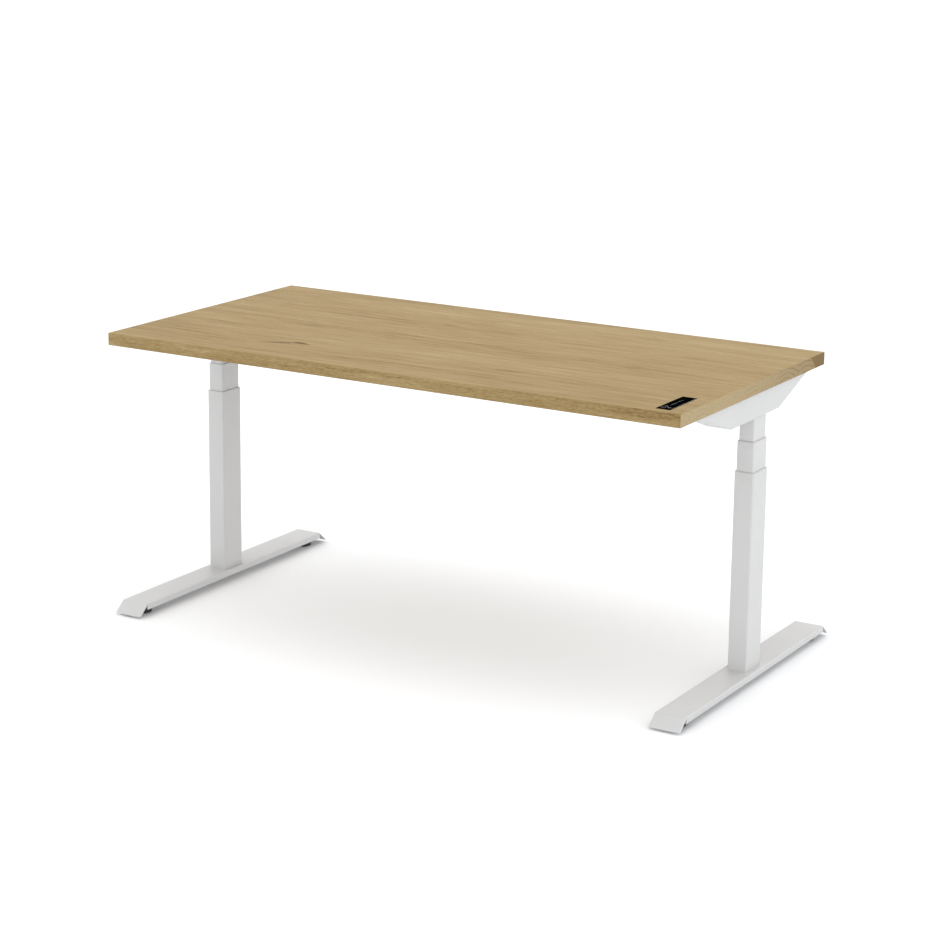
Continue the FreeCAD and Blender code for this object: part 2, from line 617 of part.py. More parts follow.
# ---------------------------------------------------------------- top, panel and control box
def panel_place():
    x = TOP_WIDTH / 2 - PANEL_FROM_RIGHT
    return x, TOP_Y - TOP_DEPTH / 2 + PANEL_FROM_FRONT


def panel_block(size_x, size_y, z, radius):
    """A round-cornered slab in line with the control panel."""
    x, y = panel_place()
    face = rounded_face(size_x, size_y, radius)
    return face.extrude(V(0, 0, z[1] - z[0])).translated(V(x, y, z[0]))


def desktop():
    """Solid oak top with eased edges, a pocket for the control panel and pilot holes."""
    corner = V(-TOP_WIDTH / 2, TOP_Y - TOP_DEPTH / 2, UNDERSIDE)
    body = Part.makeBox(TOP_WIDTH, TOP_DEPTH, TOP_THICKNESS, corner)
    body = body.makeFillet(TOP_EASING, body.Edges)
    size_x, size_y = PANEL_SIZE
    gap, ledge = POCKET_GAP, DESK_HEIGHT - 2 * PANEL_RIM - 0.1
    body = body.cut(panel_block(size_x + 2 * gap, size_y + 2 * gap, (ledge, DESK_HEIGHT + 1), 1.9))
    body = body.cut(panel_block(size_x - 5, size_y - 5, (UNDERSIDE - 1, DESK_HEIGHT), 2))
    for x, y in TOP_SCREWS + [LID_SCREW]:
        pilot = rod(x, y, (UNDERSIDE - 1, UNDERSIDE + WOOD_SCREW_DEPTH + 2), PILOT_R)
        body = body.cut(pilot).cut(mirrored(pilot))
    return body


def panel_housing():
    """Plastic tray of the control panel, hung in the top by its rim."""
    size_x, size_y = PANEL_SIZE
    top, low = DESK_HEIGHT - PANEL_RIM, DESK_HEIGHT - PANEL_DEPTH
    rim = panel_block(size_x, size_y, (top - PANEL_RIM, top), 1.5)
    tray = panel_block(size_x - 6, size_y - 6, (low, top), 2)
    inset = 6 + 2 * PANEL_WALL
    hollow = panel_block(size_x - inset, size_y - inset, (low + PANEL_WALL, DESK_HEIGHT), 1)
    return rim.fuse(tray).removeSplitter().cut(hollow)


def panel_glass():
    """Flat black touch glass, a hair above the wood."""
    size_x, size_y = PANEL_SIZE
    glass = panel_block(size_x, size_y, (DESK_HEIGHT - PANEL_RIM, DESK_HEIGHT + GLASS_PROUD), 1.5)
    return glass.makeChamfer(GLASS_BEVEL, [e for e in glass.Edges if e.BoundBox.ZMin > DESK_HEIGHT])


def box_corner():
    """Low corner of the control box, which hangs under the top between the rails."""
    return V(-BOX_SIZE[0] / 2, COLUMN_Y - BOX_SIZE[1] / 2, UNDERSIDE - BOX_SIZE[2])


def inlet_centre():
    corner = box_corner()
    return V(corner.x, COLUMN_Y + INLET_PLACE[0], corner.z + INLET_PLACE[1])


def control_box():
    """Lower shell of the control box, open at the top."""
    corner = box_corner()
    height = BOX_SIZE[2] - LID_THICK
    body = Part.makeBox(BOX_SIZE[0], BOX_SIZE[1], height, corner)
    body = body.makeFillet(BOX_ROUND, edges_along(body, UP, lambda p: True))
    body = body.makeFillet(BOX_ROUND / 2, [e for e in body.Edges if e.BoundBox.ZMax < corner.z + 1e-3])
    wall = V(BOX_WALL, BOX_WALL, BOX_WALL)
    inside = [s - 2 * BOX_WALL for s in BOX_SIZE[:2]]
    body = body.cut(Part.makeBox(inside[0], inside[1], height, corner + wall))
    width, height = INLET_SIZE[1] + 2 * SLIDE_PLAY, INLET_SIZE[2] + 2 * SLIDE_PLAY
    low = inlet_centre() - V(2, width / 2, height / 2)
    return body.cut(Part.makeBox(2 * BOX_WALL + 2, width, height, low))


def control_box_lid():
    """Flat lid with two ears for its screws, against the underside of the top."""
    corner = box_corner() + V(0, 0, BOX_SIZE[2] - LID_THICK)
    length = BOX_SIZE[0] + 2 * BOX_EAR
    lid = Part.makeBox(length, BOX_SIZE[1], LID_THICK, corner - V(BOX_EAR, 0, 0))
    lid = lid.makeFillet(2 * BOX_ROUND, edges_along(lid, UP, lambda p: True))
    for x in (-LID_EAR, LID_EAR):
        hole_low = V(x, COLUMN_Y, corner.z - 1)
        lid = lid.cut(Part.makeCylinder(WOOD_SCREW_HOLE_R, LID_THICK + 2, hole_low, UP))
    return lid


def control_board():
    """Circuit board in the control box, with its transformer, capacitors and heat sink."""
    corner = box_corner() + V(12, 8, 6)
    board = Part.makeBox(230, 84, 1.6, corner)
    deck = corner + V(0, 0, 1.6)
    transformer = Part.makeBox(42, 36, 19, deck + V(60, 40, 0))
    heat_sink = Part.makeBox(60, 8, 17, deck + V(120, 6, 0))
    caps = [Part.makeCylinder(9, 18, deck + V(128 + 24 * i, 62, 0), UP) for i in range(3)]
    return Part.makeCompound([board, transformer, heat_sink] + caps)


def mains_inlet():
    """Two-pin mains inlet in the end of the control box."""
    centre = inlet_centre()
    length, width, height = INLET_SIZE
    mouth_width, mouth_height = INLET_MOUTH
    shell = Part.makeBox(length, width, height, centre - V(INLET_PROUD, width / 2, height / 2))
    mouth_low = centre - V(2, mouth_width / 2, mouth_height / 2)
    mouth = Part.makeBox(length - 4, mouth_width, mouth_height, mouth_low)
    pins = [Part.makeCylinder(1.2, 13, centre + V(3.5, y, 0), ALONG_X) for y in (-4.3, 4.3)]
    return Part.makeCompound([shell.cut(mouth)] + pins)


# ---------------------------------------------------------------- leads under the top
def lead(points, radius):
    """A round lead through the points: straight runs with an arc at each corner, of the largest
    radius for which 0.45 of the shorter run is left on each side."""
    edges = []
    start = points[0]
    for before, corner, after in zip(points, points[1:], points[2:]):
        back, ahead = before - corner, after - corner
        tangent = 0.45 * min(back.Length, ahead.Length)
        back.normalize()
        ahead.normalize()
        half_turn = (math.pi - back.getAngle(ahead)) / 2
        bend = tangent / math.tan(half_turn)
        inward = (back + ahead).normalize()
        middle = corner + inward * (bend / math.cos(half_turn) - bend)
        arc_start, arc_end = corner + back * tangent, corner + ahead * tangent
        edges.append(Part.LineSegment(start, arc_start).toShape())
        edges.append(Part.Arc(arc_start, middle, arc_end).toShape())
        start = arc_end
        print(f"    bend radius {bend:.0f}")
    edges.append(Part.LineSegment(start, points[-1]).toShape())
    path = Part.Wire(edges)
    section = Part.Wire(Part.Circle(points[0], points[1] - points[0], radius).toShape())
    tube_solid = path.makePipeShell([section], True, False)
    print(f"    volume is {tube_solid.Volume / (math.pi * radius**2 * path.Length):.4f} of area x length")
    return tube_solid


def motor_lead_route():
    """From the socket on the right-hand motor to the right-hand end of the control box."""
    start_x = COLUMN_X + CASE_X[0] - MOTOR_LENGTH + SOCKET_FROM_END
    y = COLUMN_Y + WORM_Y
    clipped = UNDERSIDE - LEAD_GAP - MOTOR_LEAD_R
    entry_y, entry_z = COLUMN_Y + LEAD_ENTRY[0], UNDERSIDE - BOX_SIZE[2] + LEAD_ENTRY[1]
    return [
        V(start_x, y, GEAR_Z + LEAD_OUT),
        V(start_x - 30, y, GEAR_Z + LEAD_OUT),
        V(start_x - 75, y, clipped),
        V(BOX_SIZE[0] / 2 + 120, entry_y, clipped),
        V(BOX_SIZE[0] / 2 + 45, entry_y, entry_z),
        V(BOX_SIZE[0] / 2, entry_y, entry_z),
    ]


def panel_lead_route():
    """From under the control panel, over the front rail, to the front of the control box."""
    x, y = panel_place()
    x, y = x - 6, y - 6
    clipped = UNDERSIDE - LEAD_GAP - PANEL_LEAD_R
    entry_y, entry_z = COLUMN_Y - BOX_SIZE[1] / 2, UNDERSIDE - BOX_SIZE[2] + PANEL_LEAD_ENTRY
    return [
        V(x, y, DESK_HEIGHT - PANEL_DEPTH),
        V(x, y, UNDERSIDE - PANEL_LEAD_DROP),
        V(x - 40, y, UNDERSIDE - PANEL_LEAD_DROP),
        V(x - 85, y, clipped),
        V(100, y, clipped),
        V(60, y + 40, clipped),
        V(60, entry_y - 62, clipped),
        V(60, entry_y - 25, entry_z),
        V(60, entry_y, entry_z),
    ]


def motor_leads():
    return both_sides([lead(motor_lead_route(), MOTOR_LEAD_R)])


def panel_lead():
    return lead(panel_lead_route(), PANEL_LEAD_R)


def clip(along_x, x, y, radius):
    """Plastic saddle that holds a lead against the underside of the top at (x, y)."""
    height = 2 * radius + LEAD_GAP + 1.5
    length, width = 10, 2 * radius + 12
    if not along_x:
        length, width = width, length
    low = V(x - length / 2, y - width / 2, UNDERSIDE - height)
    body = Part.makeBox(length, width, height, low)
    return body.makeFillet(1.2, [e for e in body.Edges if e.BoundBox.ZMax < UNDERSIDE - 0.1])


def lead_clips():
    """Saddles along the two motor leads and the panel's lead, each cut to its lead."""
    route = motor_lead_route()
    start, end = route[2], route[3]
    groove = lead(route, MOTOR_LEAD_R + SLIDE_PLAY)
    saddles = []
    for share in (0.2, 0.5, 0.8):
        place = start + (end - start) * share
        saddles.append(clip(True, place.x, place.y, MOTOR_LEAD_R).cut(groove))
    groove = lead(panel_lead_route(), PANEL_LEAD_R + SLIDE_PLAY)
    route = panel_lead_route()
    panel_saddles = []
    for share in (0.15, 0.5, 0.85):
        place = route[3] + (route[4] - route[3]) * share
        panel_saddles.append(clip(True, place.x, place.y, PANEL_LEAD_R).cut(groove))
    place = (route[5] + route[6]) * 0.5
    panel_saddles.append(clip(False, place.x, place.y, PANEL_LEAD_R).cut(groove))
    return Part.makeCompound(both_sides(saddles).Solids + panel_saddles)


# ---------------------------------------------------------------- write the files
def save(name, shape):
    for solid in shape.Solids:
        if not solid.isValid() or solid.Volume <= 0:
            raise ValueError(f"{name}: a solid is not valid")
    shape.exportStep(f"parts/{name}.step")
    print(f"{name:24s} {len(shape.Solids):3d} solids {shape.Volume / 1000:10.1f} cm3")


SIDE_PARTS = {
    "foot": foot,
    "foot_rail": foot_rail,
    "column_bolts": column_bolts,
    "outer_tube": outer_tube,
    "outer_guide": lambda: guide(OUTER_TUBE, MIDDLE_TUBE, OUTER_TUBE_TOP),
    "fixed_screw": fixed_screw,
    "glide_stud_front": lambda: glide_stud(-GLIDE_Y),
    "glide_stud_back": lambda: glide_stud(GLIDE_Y),
    "glide_pad_front": lambda: glide_pad(-GLIDE_Y),
    "glide_pad_back": lambda: glide_pad(GLIDE_Y),
    "middle_tube": middle_tube,
    "middle_guide": lambda: guide(MIDDLE_TUBE, INNER_TUBE, MIDDLE_TUBE_TOP),
    "middle_foot": middle_foot,
    "screw_bearing": screw_bearing,
    "hollow_screw": hollow_screw,
    "drive_tube": drive_tube,
    "worm_wheel": worm_wheel,
    "worm_shaft": worm_shaft,
    "inner_tube": inner_tube,
    "motor": motor,
    "side_bracket": side_bracket,
}

MIDDLE_PARTS = {
    "desktop": desktop,
    "rail_front": lambda: rail(-RAIL_OFFSET),
    "rail_back": lambda: rail(RAIL_OFFSET),
    "inner_tube_plugs": lambda: both_sides([inner_foot()]),
    "upper_nuts": lambda: both_sides([upper_nut()]),
    "gearbox_housings": lambda: both_sides([gearbox_housing()]),
    "gearbox_covers": lambda: both_sides([gearbox_cover()]),
    "frame_screws": frame_screws,
    "top_screws": top_screws,
    "control_box": control_box,
    "control_box_lid": control_box_lid,
    "control_board": control_board,
    "mains_inlet": mains_inlet,
    "panel_housing": panel_housing,
    "panel_glass": panel_glass,
    "motor_leads": motor_leads,
    "panel_lead": panel_lead,
    "lead_clips": lead_clips,
}

os.makedirs("parts", exist_ok=True)
for part_name, make in SIDE_PARTS.items():
    right = make()
    save(f"{part_name}_right", right)
    save(f"{part_name}_left", mirrored(right))
for part_name, make in MIDDLE_PARTS.items():
    save(part_name, make())
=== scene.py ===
import json
import math

import bpy
import numpy as np
from mathutils import Matrix, Vector


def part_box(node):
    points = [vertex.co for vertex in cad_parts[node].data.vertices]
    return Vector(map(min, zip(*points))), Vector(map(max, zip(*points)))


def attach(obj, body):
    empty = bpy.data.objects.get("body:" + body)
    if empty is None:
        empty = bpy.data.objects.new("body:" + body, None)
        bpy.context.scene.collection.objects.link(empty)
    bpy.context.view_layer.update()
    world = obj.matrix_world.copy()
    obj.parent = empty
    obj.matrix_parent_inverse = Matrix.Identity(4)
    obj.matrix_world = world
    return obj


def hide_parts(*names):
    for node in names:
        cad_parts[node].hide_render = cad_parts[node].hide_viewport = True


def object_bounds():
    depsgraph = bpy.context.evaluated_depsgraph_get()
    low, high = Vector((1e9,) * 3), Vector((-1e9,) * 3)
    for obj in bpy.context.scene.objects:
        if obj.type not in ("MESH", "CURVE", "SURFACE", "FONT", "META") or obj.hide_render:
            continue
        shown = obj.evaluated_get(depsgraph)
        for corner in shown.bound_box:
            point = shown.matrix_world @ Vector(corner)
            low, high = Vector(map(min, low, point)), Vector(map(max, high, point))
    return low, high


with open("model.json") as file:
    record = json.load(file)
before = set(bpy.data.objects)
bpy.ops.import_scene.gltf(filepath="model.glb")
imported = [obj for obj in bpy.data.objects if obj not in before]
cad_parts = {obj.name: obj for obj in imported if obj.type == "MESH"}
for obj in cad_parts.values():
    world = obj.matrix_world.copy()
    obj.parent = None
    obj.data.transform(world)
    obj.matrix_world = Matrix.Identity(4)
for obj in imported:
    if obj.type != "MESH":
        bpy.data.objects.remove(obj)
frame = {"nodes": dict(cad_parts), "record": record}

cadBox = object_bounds()
nodes = frame["nodes"]
topLow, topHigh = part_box("desktop")
panelLow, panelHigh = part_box("panel_glass")
print("frame loaded,", len(nodes), "nodes")

cameraSet = {
    "place": (3.0903, -5.1789, 1.9962),
    "turn": -0.5401,  # radians, from looking along +Y
    "tilt": -0.2261,
    "roll": 0.011,
    "lens": 95.45,
    "shift": -0.0753,
    "farthest": 200,
}


# looks along (sin turn, cos turn) in plan, tipped by tilt, then rolled about its own axis
def makeCamera(given):
    turn, tilt, roll = given["turn"], given["tilt"], given["roll"]
    level = math.cos(tilt)
    ahead = Vector((math.sin(turn) * level, math.cos(turn) * level, math.sin(tilt)))
    side = Vector((math.cos(turn), -math.sin(turn), 0))
    upward = side.cross(ahead)
    right = side * math.cos(roll) + upward * math.sin(roll)
    above = upward * math.cos(roll) - side * math.sin(roll)
    camera = bpy.data.objects.new("camera", bpy.data.cameras.new("camera"))
    bpy.context.scene.collection.objects.link(camera)
    turned = Matrix((right, above, -ahead)).transposed().to_4x4()
    camera.matrix_world = Matrix.Translation(given["place"]) @ turned
    camera.data.lens = given["lens"]
    camera.data.shift_y = given["shift"]
    camera.data.clip_end = given["farthest"]
    bpy.context.scene.camera = camera


makeCamera(cameraSet)

studioSet = {
    "floorHalf": 70.0,
    "floorGap": 0.0004,  # between the glides and the floor
    "floorColour": (0.945, 0.955, 0.970, 1),
    "floorRough": 0.9,
    "floorGloss": 0.1,
    "aim": (0, 0, 0.5),  # the place both lights face
    "worldStrength": 1.25,
    "keyPower": 52.0,
    "keyPlace": (12.0, -3.4, 1.6),
    "keySize": 1.6,
    "overPower": 26.0,
    "overPlace": (0.5, -0.3, 4.4),
    "overSize": 2.5,
}


# a square light, turned to face a place
def softLight(name, power, place, size, aim):
    lamp = bpy.data.lights.new(name, "AREA")
    lamp.energy = power
    lamp.size = size
    holder = bpy.data.objects.new(name, lamp)
    bpy.context.scene.collection.objects.link(holder)
    holder.location = place
    way = Vector(aim) - Vector(place)
    holder.rotation_euler = way.to_track_quat("-Z", "Y").to_euler()


def makeStudio(given):
    half = given["floorHalf"]
    floorMesh = bpy.data.meshes.new("floor")
    corners = [(-half, -half, 0), (half, -half, 0), (half, half, 0), (-half, half, 0)]
    floorMesh.from_pydata(corners, [], [(0, 1, 2, 3)])
    floorPaper = bpy.data.objects.new("floor", floorMesh)
    floorPaper.location.z = cadBox[0].z - given["floorGap"]
    bpy.context.scene.collection.objects.link(floorPaper)
    paper = bpy.data.materials.new("studioPaper")
    paper.use_nodes = True
    shader = paper.node_tree.nodes["Principled BSDF"]
    shader.inputs["Base Color"].default_value = given["floorColour"]
    shader.inputs["Roughness"].default_value = given["floorRough"]
    shader.inputs["Specular IOR Level"].default_value = given["floorGloss"]
    floorMesh.materials.append(paper)
    for name, lamp in (("keyLight", "key"), ("overheadLight", "over")):
        power, place, size = (given[lamp + what] for what in ("Power", "Place", "Size"))
        softLight(name, power, place, size, given["aim"])
    world = bpy.data.worlds.new("studioWorld")
    world.use_nodes = True
    sky = world.node_tree.nodes["Background"]
    sky.inputs["Strength"].default_value = given["worldStrength"]
    sky.inputs["Color"].default_value = (1, 1, 1, 1)
    bpy.context.scene.world = world
    bpy.context.scene.view_settings.view_transform = "Standard"


makeStudio(studioSet)
print("camera and studio ready")


# one node: settings go on the node itself, feeds go to its inputs by name or number
def put(tree, kind, feeds=None, **settings):
    node = tree.nodes.new(kind)
    for key, value in settings.items():
        setattr(node, key, value)
    for key, value in (feeds or {}).items():
        feed(tree, node.inputs[key], value)
    return node


# a socket given is linked, anything else becomes the input's own value
def feed(tree, socket, value):
    if isinstance(value, bpy.types.NodeSocket):
        tree.links.new(value, socket)
    else:
        socket.default_value = value


# one step of arithmetic on up to three numbers
def calc(tree, work, first, second=0.5, third=0.5, clamp=False):
    node = put(tree, "ShaderNodeMath", {0: first, 1: second, 2: third}, operation=work)
    node.use_clamp = clamp
    return node.outputs[0]


# colour between two others by a share
def blendColour(tree, share, first, second):
    node = put(tree, "ShaderNodeMix", data_type="RGBA")
    feed(tree, node.inputs[0], share)
    feed(tree, node.inputs[6], first)
    feed(tree, node.inputs[7], second)
    return node.outputs[2]


# a straight rescale of one range of numbers to another, held at its ends
def rescale(tree, value, low, high, toLow, toHigh):
    feeds = {"Value": value, "From Min": low, "From Max": high, "To Min": toLow, "To Max": toHigh}
    return put(tree, "ShaderNodeMapRange", feeds).outputs["Result"]


# colour from a number, through a list of (place, colour) stops
def ramp(tree, value, stops):
    node = put(tree, "ShaderNodeValToRGB", {0: value})
    first, last = node.color_ramp.elements
    first.position, first.color = stops[0]
    last.position, last.color = stops[-1]
    for place, colour in stops[1:-1]:
        node.color_ramp.elements.new(place).color = colour
    return node.outputs["Color"]


# noise keeps to the middle of its range: this spreads it out
def spreadOut(tree, value, toLow=0.0, toHigh=1.0):
    return rescale(tree, value, 0.30, 0.70, toLow, toHigh)


# fractal noise on a place that is stretched by three factors first
def noise(tree, place, stretch, scale=1.0, detail=4.0, rough=0.55, warp=0.0):
    scaled = put(tree, "ShaderNodeVectorMath", {0: place, 1: stretch}, operation="MULTIPLY")
    feeds = {"Vector": scaled.outputs[0], "Scale": scale, "Detail": detail}
    feeds.update({"Roughness": rough, "Distortion": warp})
    return put(tree, "ShaderNodeTexNoise", feeds).outputs["Fac"]


# an empty node group with its named sockets; inputs are (kind, name, value)
def newGroup(name, inputs, outputs):
    tree = bpy.data.node_groups.new(name, "ShaderNodeTree")
    for kind, label, value in inputs:
        socket = tree.interface.new_socket(label, in_out="INPUT", socket_type="NodeSocket" + kind)
        if value is not None:
            socket.default_value = value
    for kind, label in outputs:
        tree.interface.new_socket(label, in_out="OUTPUT", socket_type="NodeSocket" + kind)
    return tree, tree.nodes.new("NodeGroupInput"), tree.nodes.new("NodeGroupOutput")


def useGroup(tree, group, **feeds):
    node = tree.nodes.new("ShaderNodeGroup")
    node.node_tree = group
    for key, value in feeds.items():
        feed(tree, node.inputs[key], value)
    return node.outputs


# in these sets a noise is (stretch, scale, detail, roughness, warp), where the last numbers may be
# left out, and a range is (from low, from high, to low, to high)
edgeWearSet = {
    "samples": 4,
    "leanRange": (0.995, 0.80, 0.0, 1.0),  # from the cosine of the lean to a share
    "patchNoise": ((1, 1, 1), 90.0, 3.0),
    "patchRange": (0.42, 0.62, 0.15, 1.0),
    "polish": -0.1,  # change of roughness where it is worn
}


# share of wear at outside edges: how far a rounded normal leans off the flat one, broken by noise
def makeEdgeWear(own):
    tree, given, result = newGroup(
        "edgeWear",
        [("Vector", "place", None), ("Float", "width", 0.001), ("Float", "amount", 0.5)],
        [("Float", "wear")],
    )
    rounded = put(tree, "ShaderNodeBevel", {"Radius": given.outputs["width"]})
    rounded.samples = own["samples"]
    flat = put(tree, "ShaderNodeNewGeometry")
    lean = put(tree, "ShaderNodeVectorMath", operation="DOT_PRODUCT")
    feed(tree, lean.inputs[0], rounded.outputs[0])
    feed(tree, lean.inputs[1], flat.outputs["Normal"])
    edge = rescale(tree, lean.outputs["Value"], *own["leanRange"])
    patch = noise(tree, given.outputs["place"], *own["patchNoise"])
    broken = calc(tree, "MULTIPLY", edge, rescale(tree, patch, *own["patchRange"]))
    worn = calc(tree, "MULTIPLY", broken, given.outputs["amount"], clamp=True)
    feed(tree, result.inputs["wear"], worn)
    return tree


skinSet = {
    "fineDetail": 2.0,
    "middleNoise": ((1, 1, 1), 45.0, 3.0),
    "slowNoise": ((1, 1, 1), 7.0, 5.0, 0.6),
    "fineHeight": 0.7, "middleHeight": 0.3,
    "middleShade": 0.4, "slowShade": 0.6,
    "swing": 4.0,  # of the roughness, times a finish's own spread
}


# height, roughness and shade of a sprayed or moulded skin, from noise at three sizes
def makeSkin(own):
    tree, given, result = newGroup(
        "skin",
        [
            ("Vector", "place", None), ("Float", "grain", 600.0),
            ("Float", "rough", 0.4), ("Float", "spread", 0.06),
        ],
        [("Float", "height"), ("Float", "roughness"), ("Float", "shade")],
    )
    place = given.outputs["place"]
    feeds = {"Vector": place, "Scale": given.outputs["grain"], "Detail": own["fineDetail"]}
    fine = put(tree, "ShaderNodeTexNoise", feeds)
    slow = noise(tree, place, *own["slowNoise"])
    middle = noise(tree, place, *own["middleNoise"])
    height = calc(tree, "MULTIPLY", middle, own["middleHeight"])
    height = calc(tree, "MULTIPLY_ADD", fine.outputs["Fac"], own["fineHeight"], height)
    swing = calc(tree, "MULTIPLY", calc(tree, "SUBTRACT", slow, 0.5), given.outputs["spread"])
    feed(tree, result.inputs["height"], height)
    rough = calc(tree, "MULTIPLY_ADD", swing, own["swing"], given.outputs["rough"])
    feed(tree, result.inputs["roughness"], rough)
    shade = calc(tree, "MULTIPLY", slow, own["slowShade"])
    shade = calc(tree, "MULTIPLY_ADD", middle, own["middleShade"], shade)
    feed(tree, result.inputs["shade"], shade)
    return tree


edgeWear = makeEdgeWear(edgeWearSet)
skin = makeSkin(skinSet)


# an empty material, with its tree, its shader and the object's own coordinates
def startMaterial(name):
    material = bpy.data.materials.new(name)
    material.use_nodes = True
    tree = material.node_tree
    shader = tree.nodes["Principled BSDF"]
    place = put(tree, "ShaderNodeTexCoord").outputs["Object"]
    return material, tree, shader, place


# height becomes a normal for the shader
def addBump(tree, shader, height, depth):
    bump = put(tree, "ShaderNodeBump", {"Strength": 1.0, "Distance": depth, "Height": height})
    feed(tree, shader.inputs["Normal"], bump.outputs[0])


# grain is how fine the skin is and depth its relief; spread is how far the gloss strays, edge and
# wear are the width and strength of the worn edges, and shade is how much the colour darkens
finishes = {
    "powderCoat": {
        "colour": (0.560, 0.560, 0.560), "worn": (0.64, 0.64, 0.64),
        "rough": 0.42, "spread": 0.05, "grain": 520.0, "depth": 0.00010,
        "edge": 0.0012, "wear": 0.35, "metal": 0.0, "shade": 0.03,
    },
    "guidePlastic": {
        "colour": (0.54, 0.54, 0.54), "worn": (0.60, 0.60, 0.60),
        "rough": 0.38, "spread": 0.05, "grain": 900.0, "depth": 0.00003,
        "edge": 0.0005, "wear": 0.3, "metal": 0.0, "shade": 0.03,
    },
    "blackMoulding": {
        "colour": (0.017, 0.017, 0.018), "worn": (0.05, 0.05, 0.05),
        "rough": 0.46, "spread": 0.10, "grain": 1500.0, "depth": 0.00012,
        "edge": 0.0008, "wear": 0.6, "metal": 0.0, "shade": 0.25,
    },
    "glidePlastic": {
        "colour": (0.010, 0.010, 0.011), "worn": (0.045, 0.043, 0.04),
        "rough": 0.40, "spread": 0.10, "grain": 1100.0, "depth": 0.00008,
        "edge": 0.0010, "wear": 0.7, "metal": 0.0, "shade": 0.25,
    },
    "gearboxPlastic": {
        "colour": (0.030, 0.031, 0.034), "worn": (0.09, 0.09, 0.09),
        "rough": 0.55, "spread": 0.08, "grain": 1200.0, "depth": 0.00010,
        "edge": 0.0010, "wear": 0.5, "metal": 0.0, "shade": 0.3,
    },
    "motorPaint": {
        "colour": (0.022, 0.022, 0.024), "worn": (0.30, 0.29, 0.28),
        "rough": 0.30, "spread": 0.08, "grain": 400.0, "depth": 0.00006,
        "edge": 0.0010, "wear": 0.5, "metal": 0.0, "shade": 0.2,
    },
    "zincPlate": {
        "colour": (0.52, 0.52, 0.50), "worn": (0.66, 0.66, 0.66),
        "rough": 0.33, "spread": 0.10, "grain": 700.0, "depth": 0.00003,
        "edge": 0.0004, "wear": 0.8, "metal": 1.0, "shade": 0.35,
    },
    "bronzeCast": {
        "colour": (0.48, 0.28, 0.10), "worn": (0.70, 0.46, 0.20),
        "rough": 0.34, "spread": 0.10, "grain": 800.0, "depth": 0.00004,
        "edge": 0.0005, "wear": 0.8, "metal": 1.0, "shade": 0.35,
    },
    # grey of the printed marks, and of the painted highlight along the panel's right-hand edge
    "panelPrintAndHighlight": {
        "colour": (0.36, 0.36, 0.36), "worn": (0.30, 0.30, 0.30),
        "rough": 0.50, "spread": 0.05, "grain": 2000.0, "depth": 0.00001,
        "edge": 0.0001, "wear": 0.2, "metal": 0.0, "shade": 0.2,
    },
    "leadSheath": {
        "colour": (0.013, 0.013, 0.014), "worn": (0.035, 0.035, 0.035),
        "rough": 0.52, "spread": 0.10, "grain": 1300.0, "depth": 0.00004,
        "edge": 0.0004, "wear": 0.3, "metal": 0.0, "shade": 0.3,
    },
}


# colour darkens by shade, goes to worn at edges, and roughness and bump come from the skin
def makeFinish(name, given):
    material, tree, shader, place = startMaterial(name)
    surface = useGroup(
        tree, skin, place=place, grain=given["grain"], rough=given["rough"], spread=given["spread"]
    )
    worn = useGroup(tree, edgeWear, place=place, width=given["edge"], amount=given["wear"])["wear"]
    bright = (*given["colour"], 1)
    dim = (*[c * (1 - given["shade"]) for c in given["colour"]], 1)
    body = blendColour(tree, spreadOut(tree, surface["shade"]), bright, dim)
    feed(tree, shader.inputs["Base Color"], blendColour(tree, worn, body, (*given["worn"], 1)))
    smoother = calc(tree, "MULTIPLY_ADD", worn, edgeWearSet["polish"], surface["roughness"])
    feed(tree, shader.inputs["Roughness"], smoother)
    shader.inputs["Metallic"].default_value = given["metal"]
    addBump(tree, shader, surface["height"], given["depth"])
    return material


finish = {name: makeFinish(name, given) for name, given in finishes.items()}
print("plain finishes ready")

steelSet = {
    "colour": (0.36, 0.36, 0.37, 1),
    "film": (0.16, 0.13, 0.09, 1),  # grease that stays on the thread
    "ringNoise": ((0.1, 0.1, 1.0), 2600.0, 2.0),
    "relief": 0.00003,
    "filmNoise": ((1, 1, 1), 60.0, 5.0),
    "filmRange": (0.45, 0.65, 0.0, 0.8),
    "roughRange": (0.0, 0.8, 0.22, 0.5),  # from the film's share to roughness
}


# bright steel with fine rings of tool marks across the axis and a patchy film of grease
def makeTurnedSteel(given):
    material, tree, shader, place = startMaterial("turnedSteel")
    rings = noise(tree, place, *given["ringNoise"])
    film = rescale(tree, noise(tree, place, *given["filmNoise"]), *given["filmRange"])
    colour = blendColour(tree, film, given["colour"], given["film"])
    feed(tree, shader.inputs["Base Color"], colour)
    feed(tree, shader.inputs["Roughness"], rescale(tree, film, *given["roughRange"]))
    shader.inputs["Metallic"].default_value = 1.0
    addBump(tree, shader, rings, given["relief"])
    return material


turnedSteel = makeTurnedSteel(steelSet)

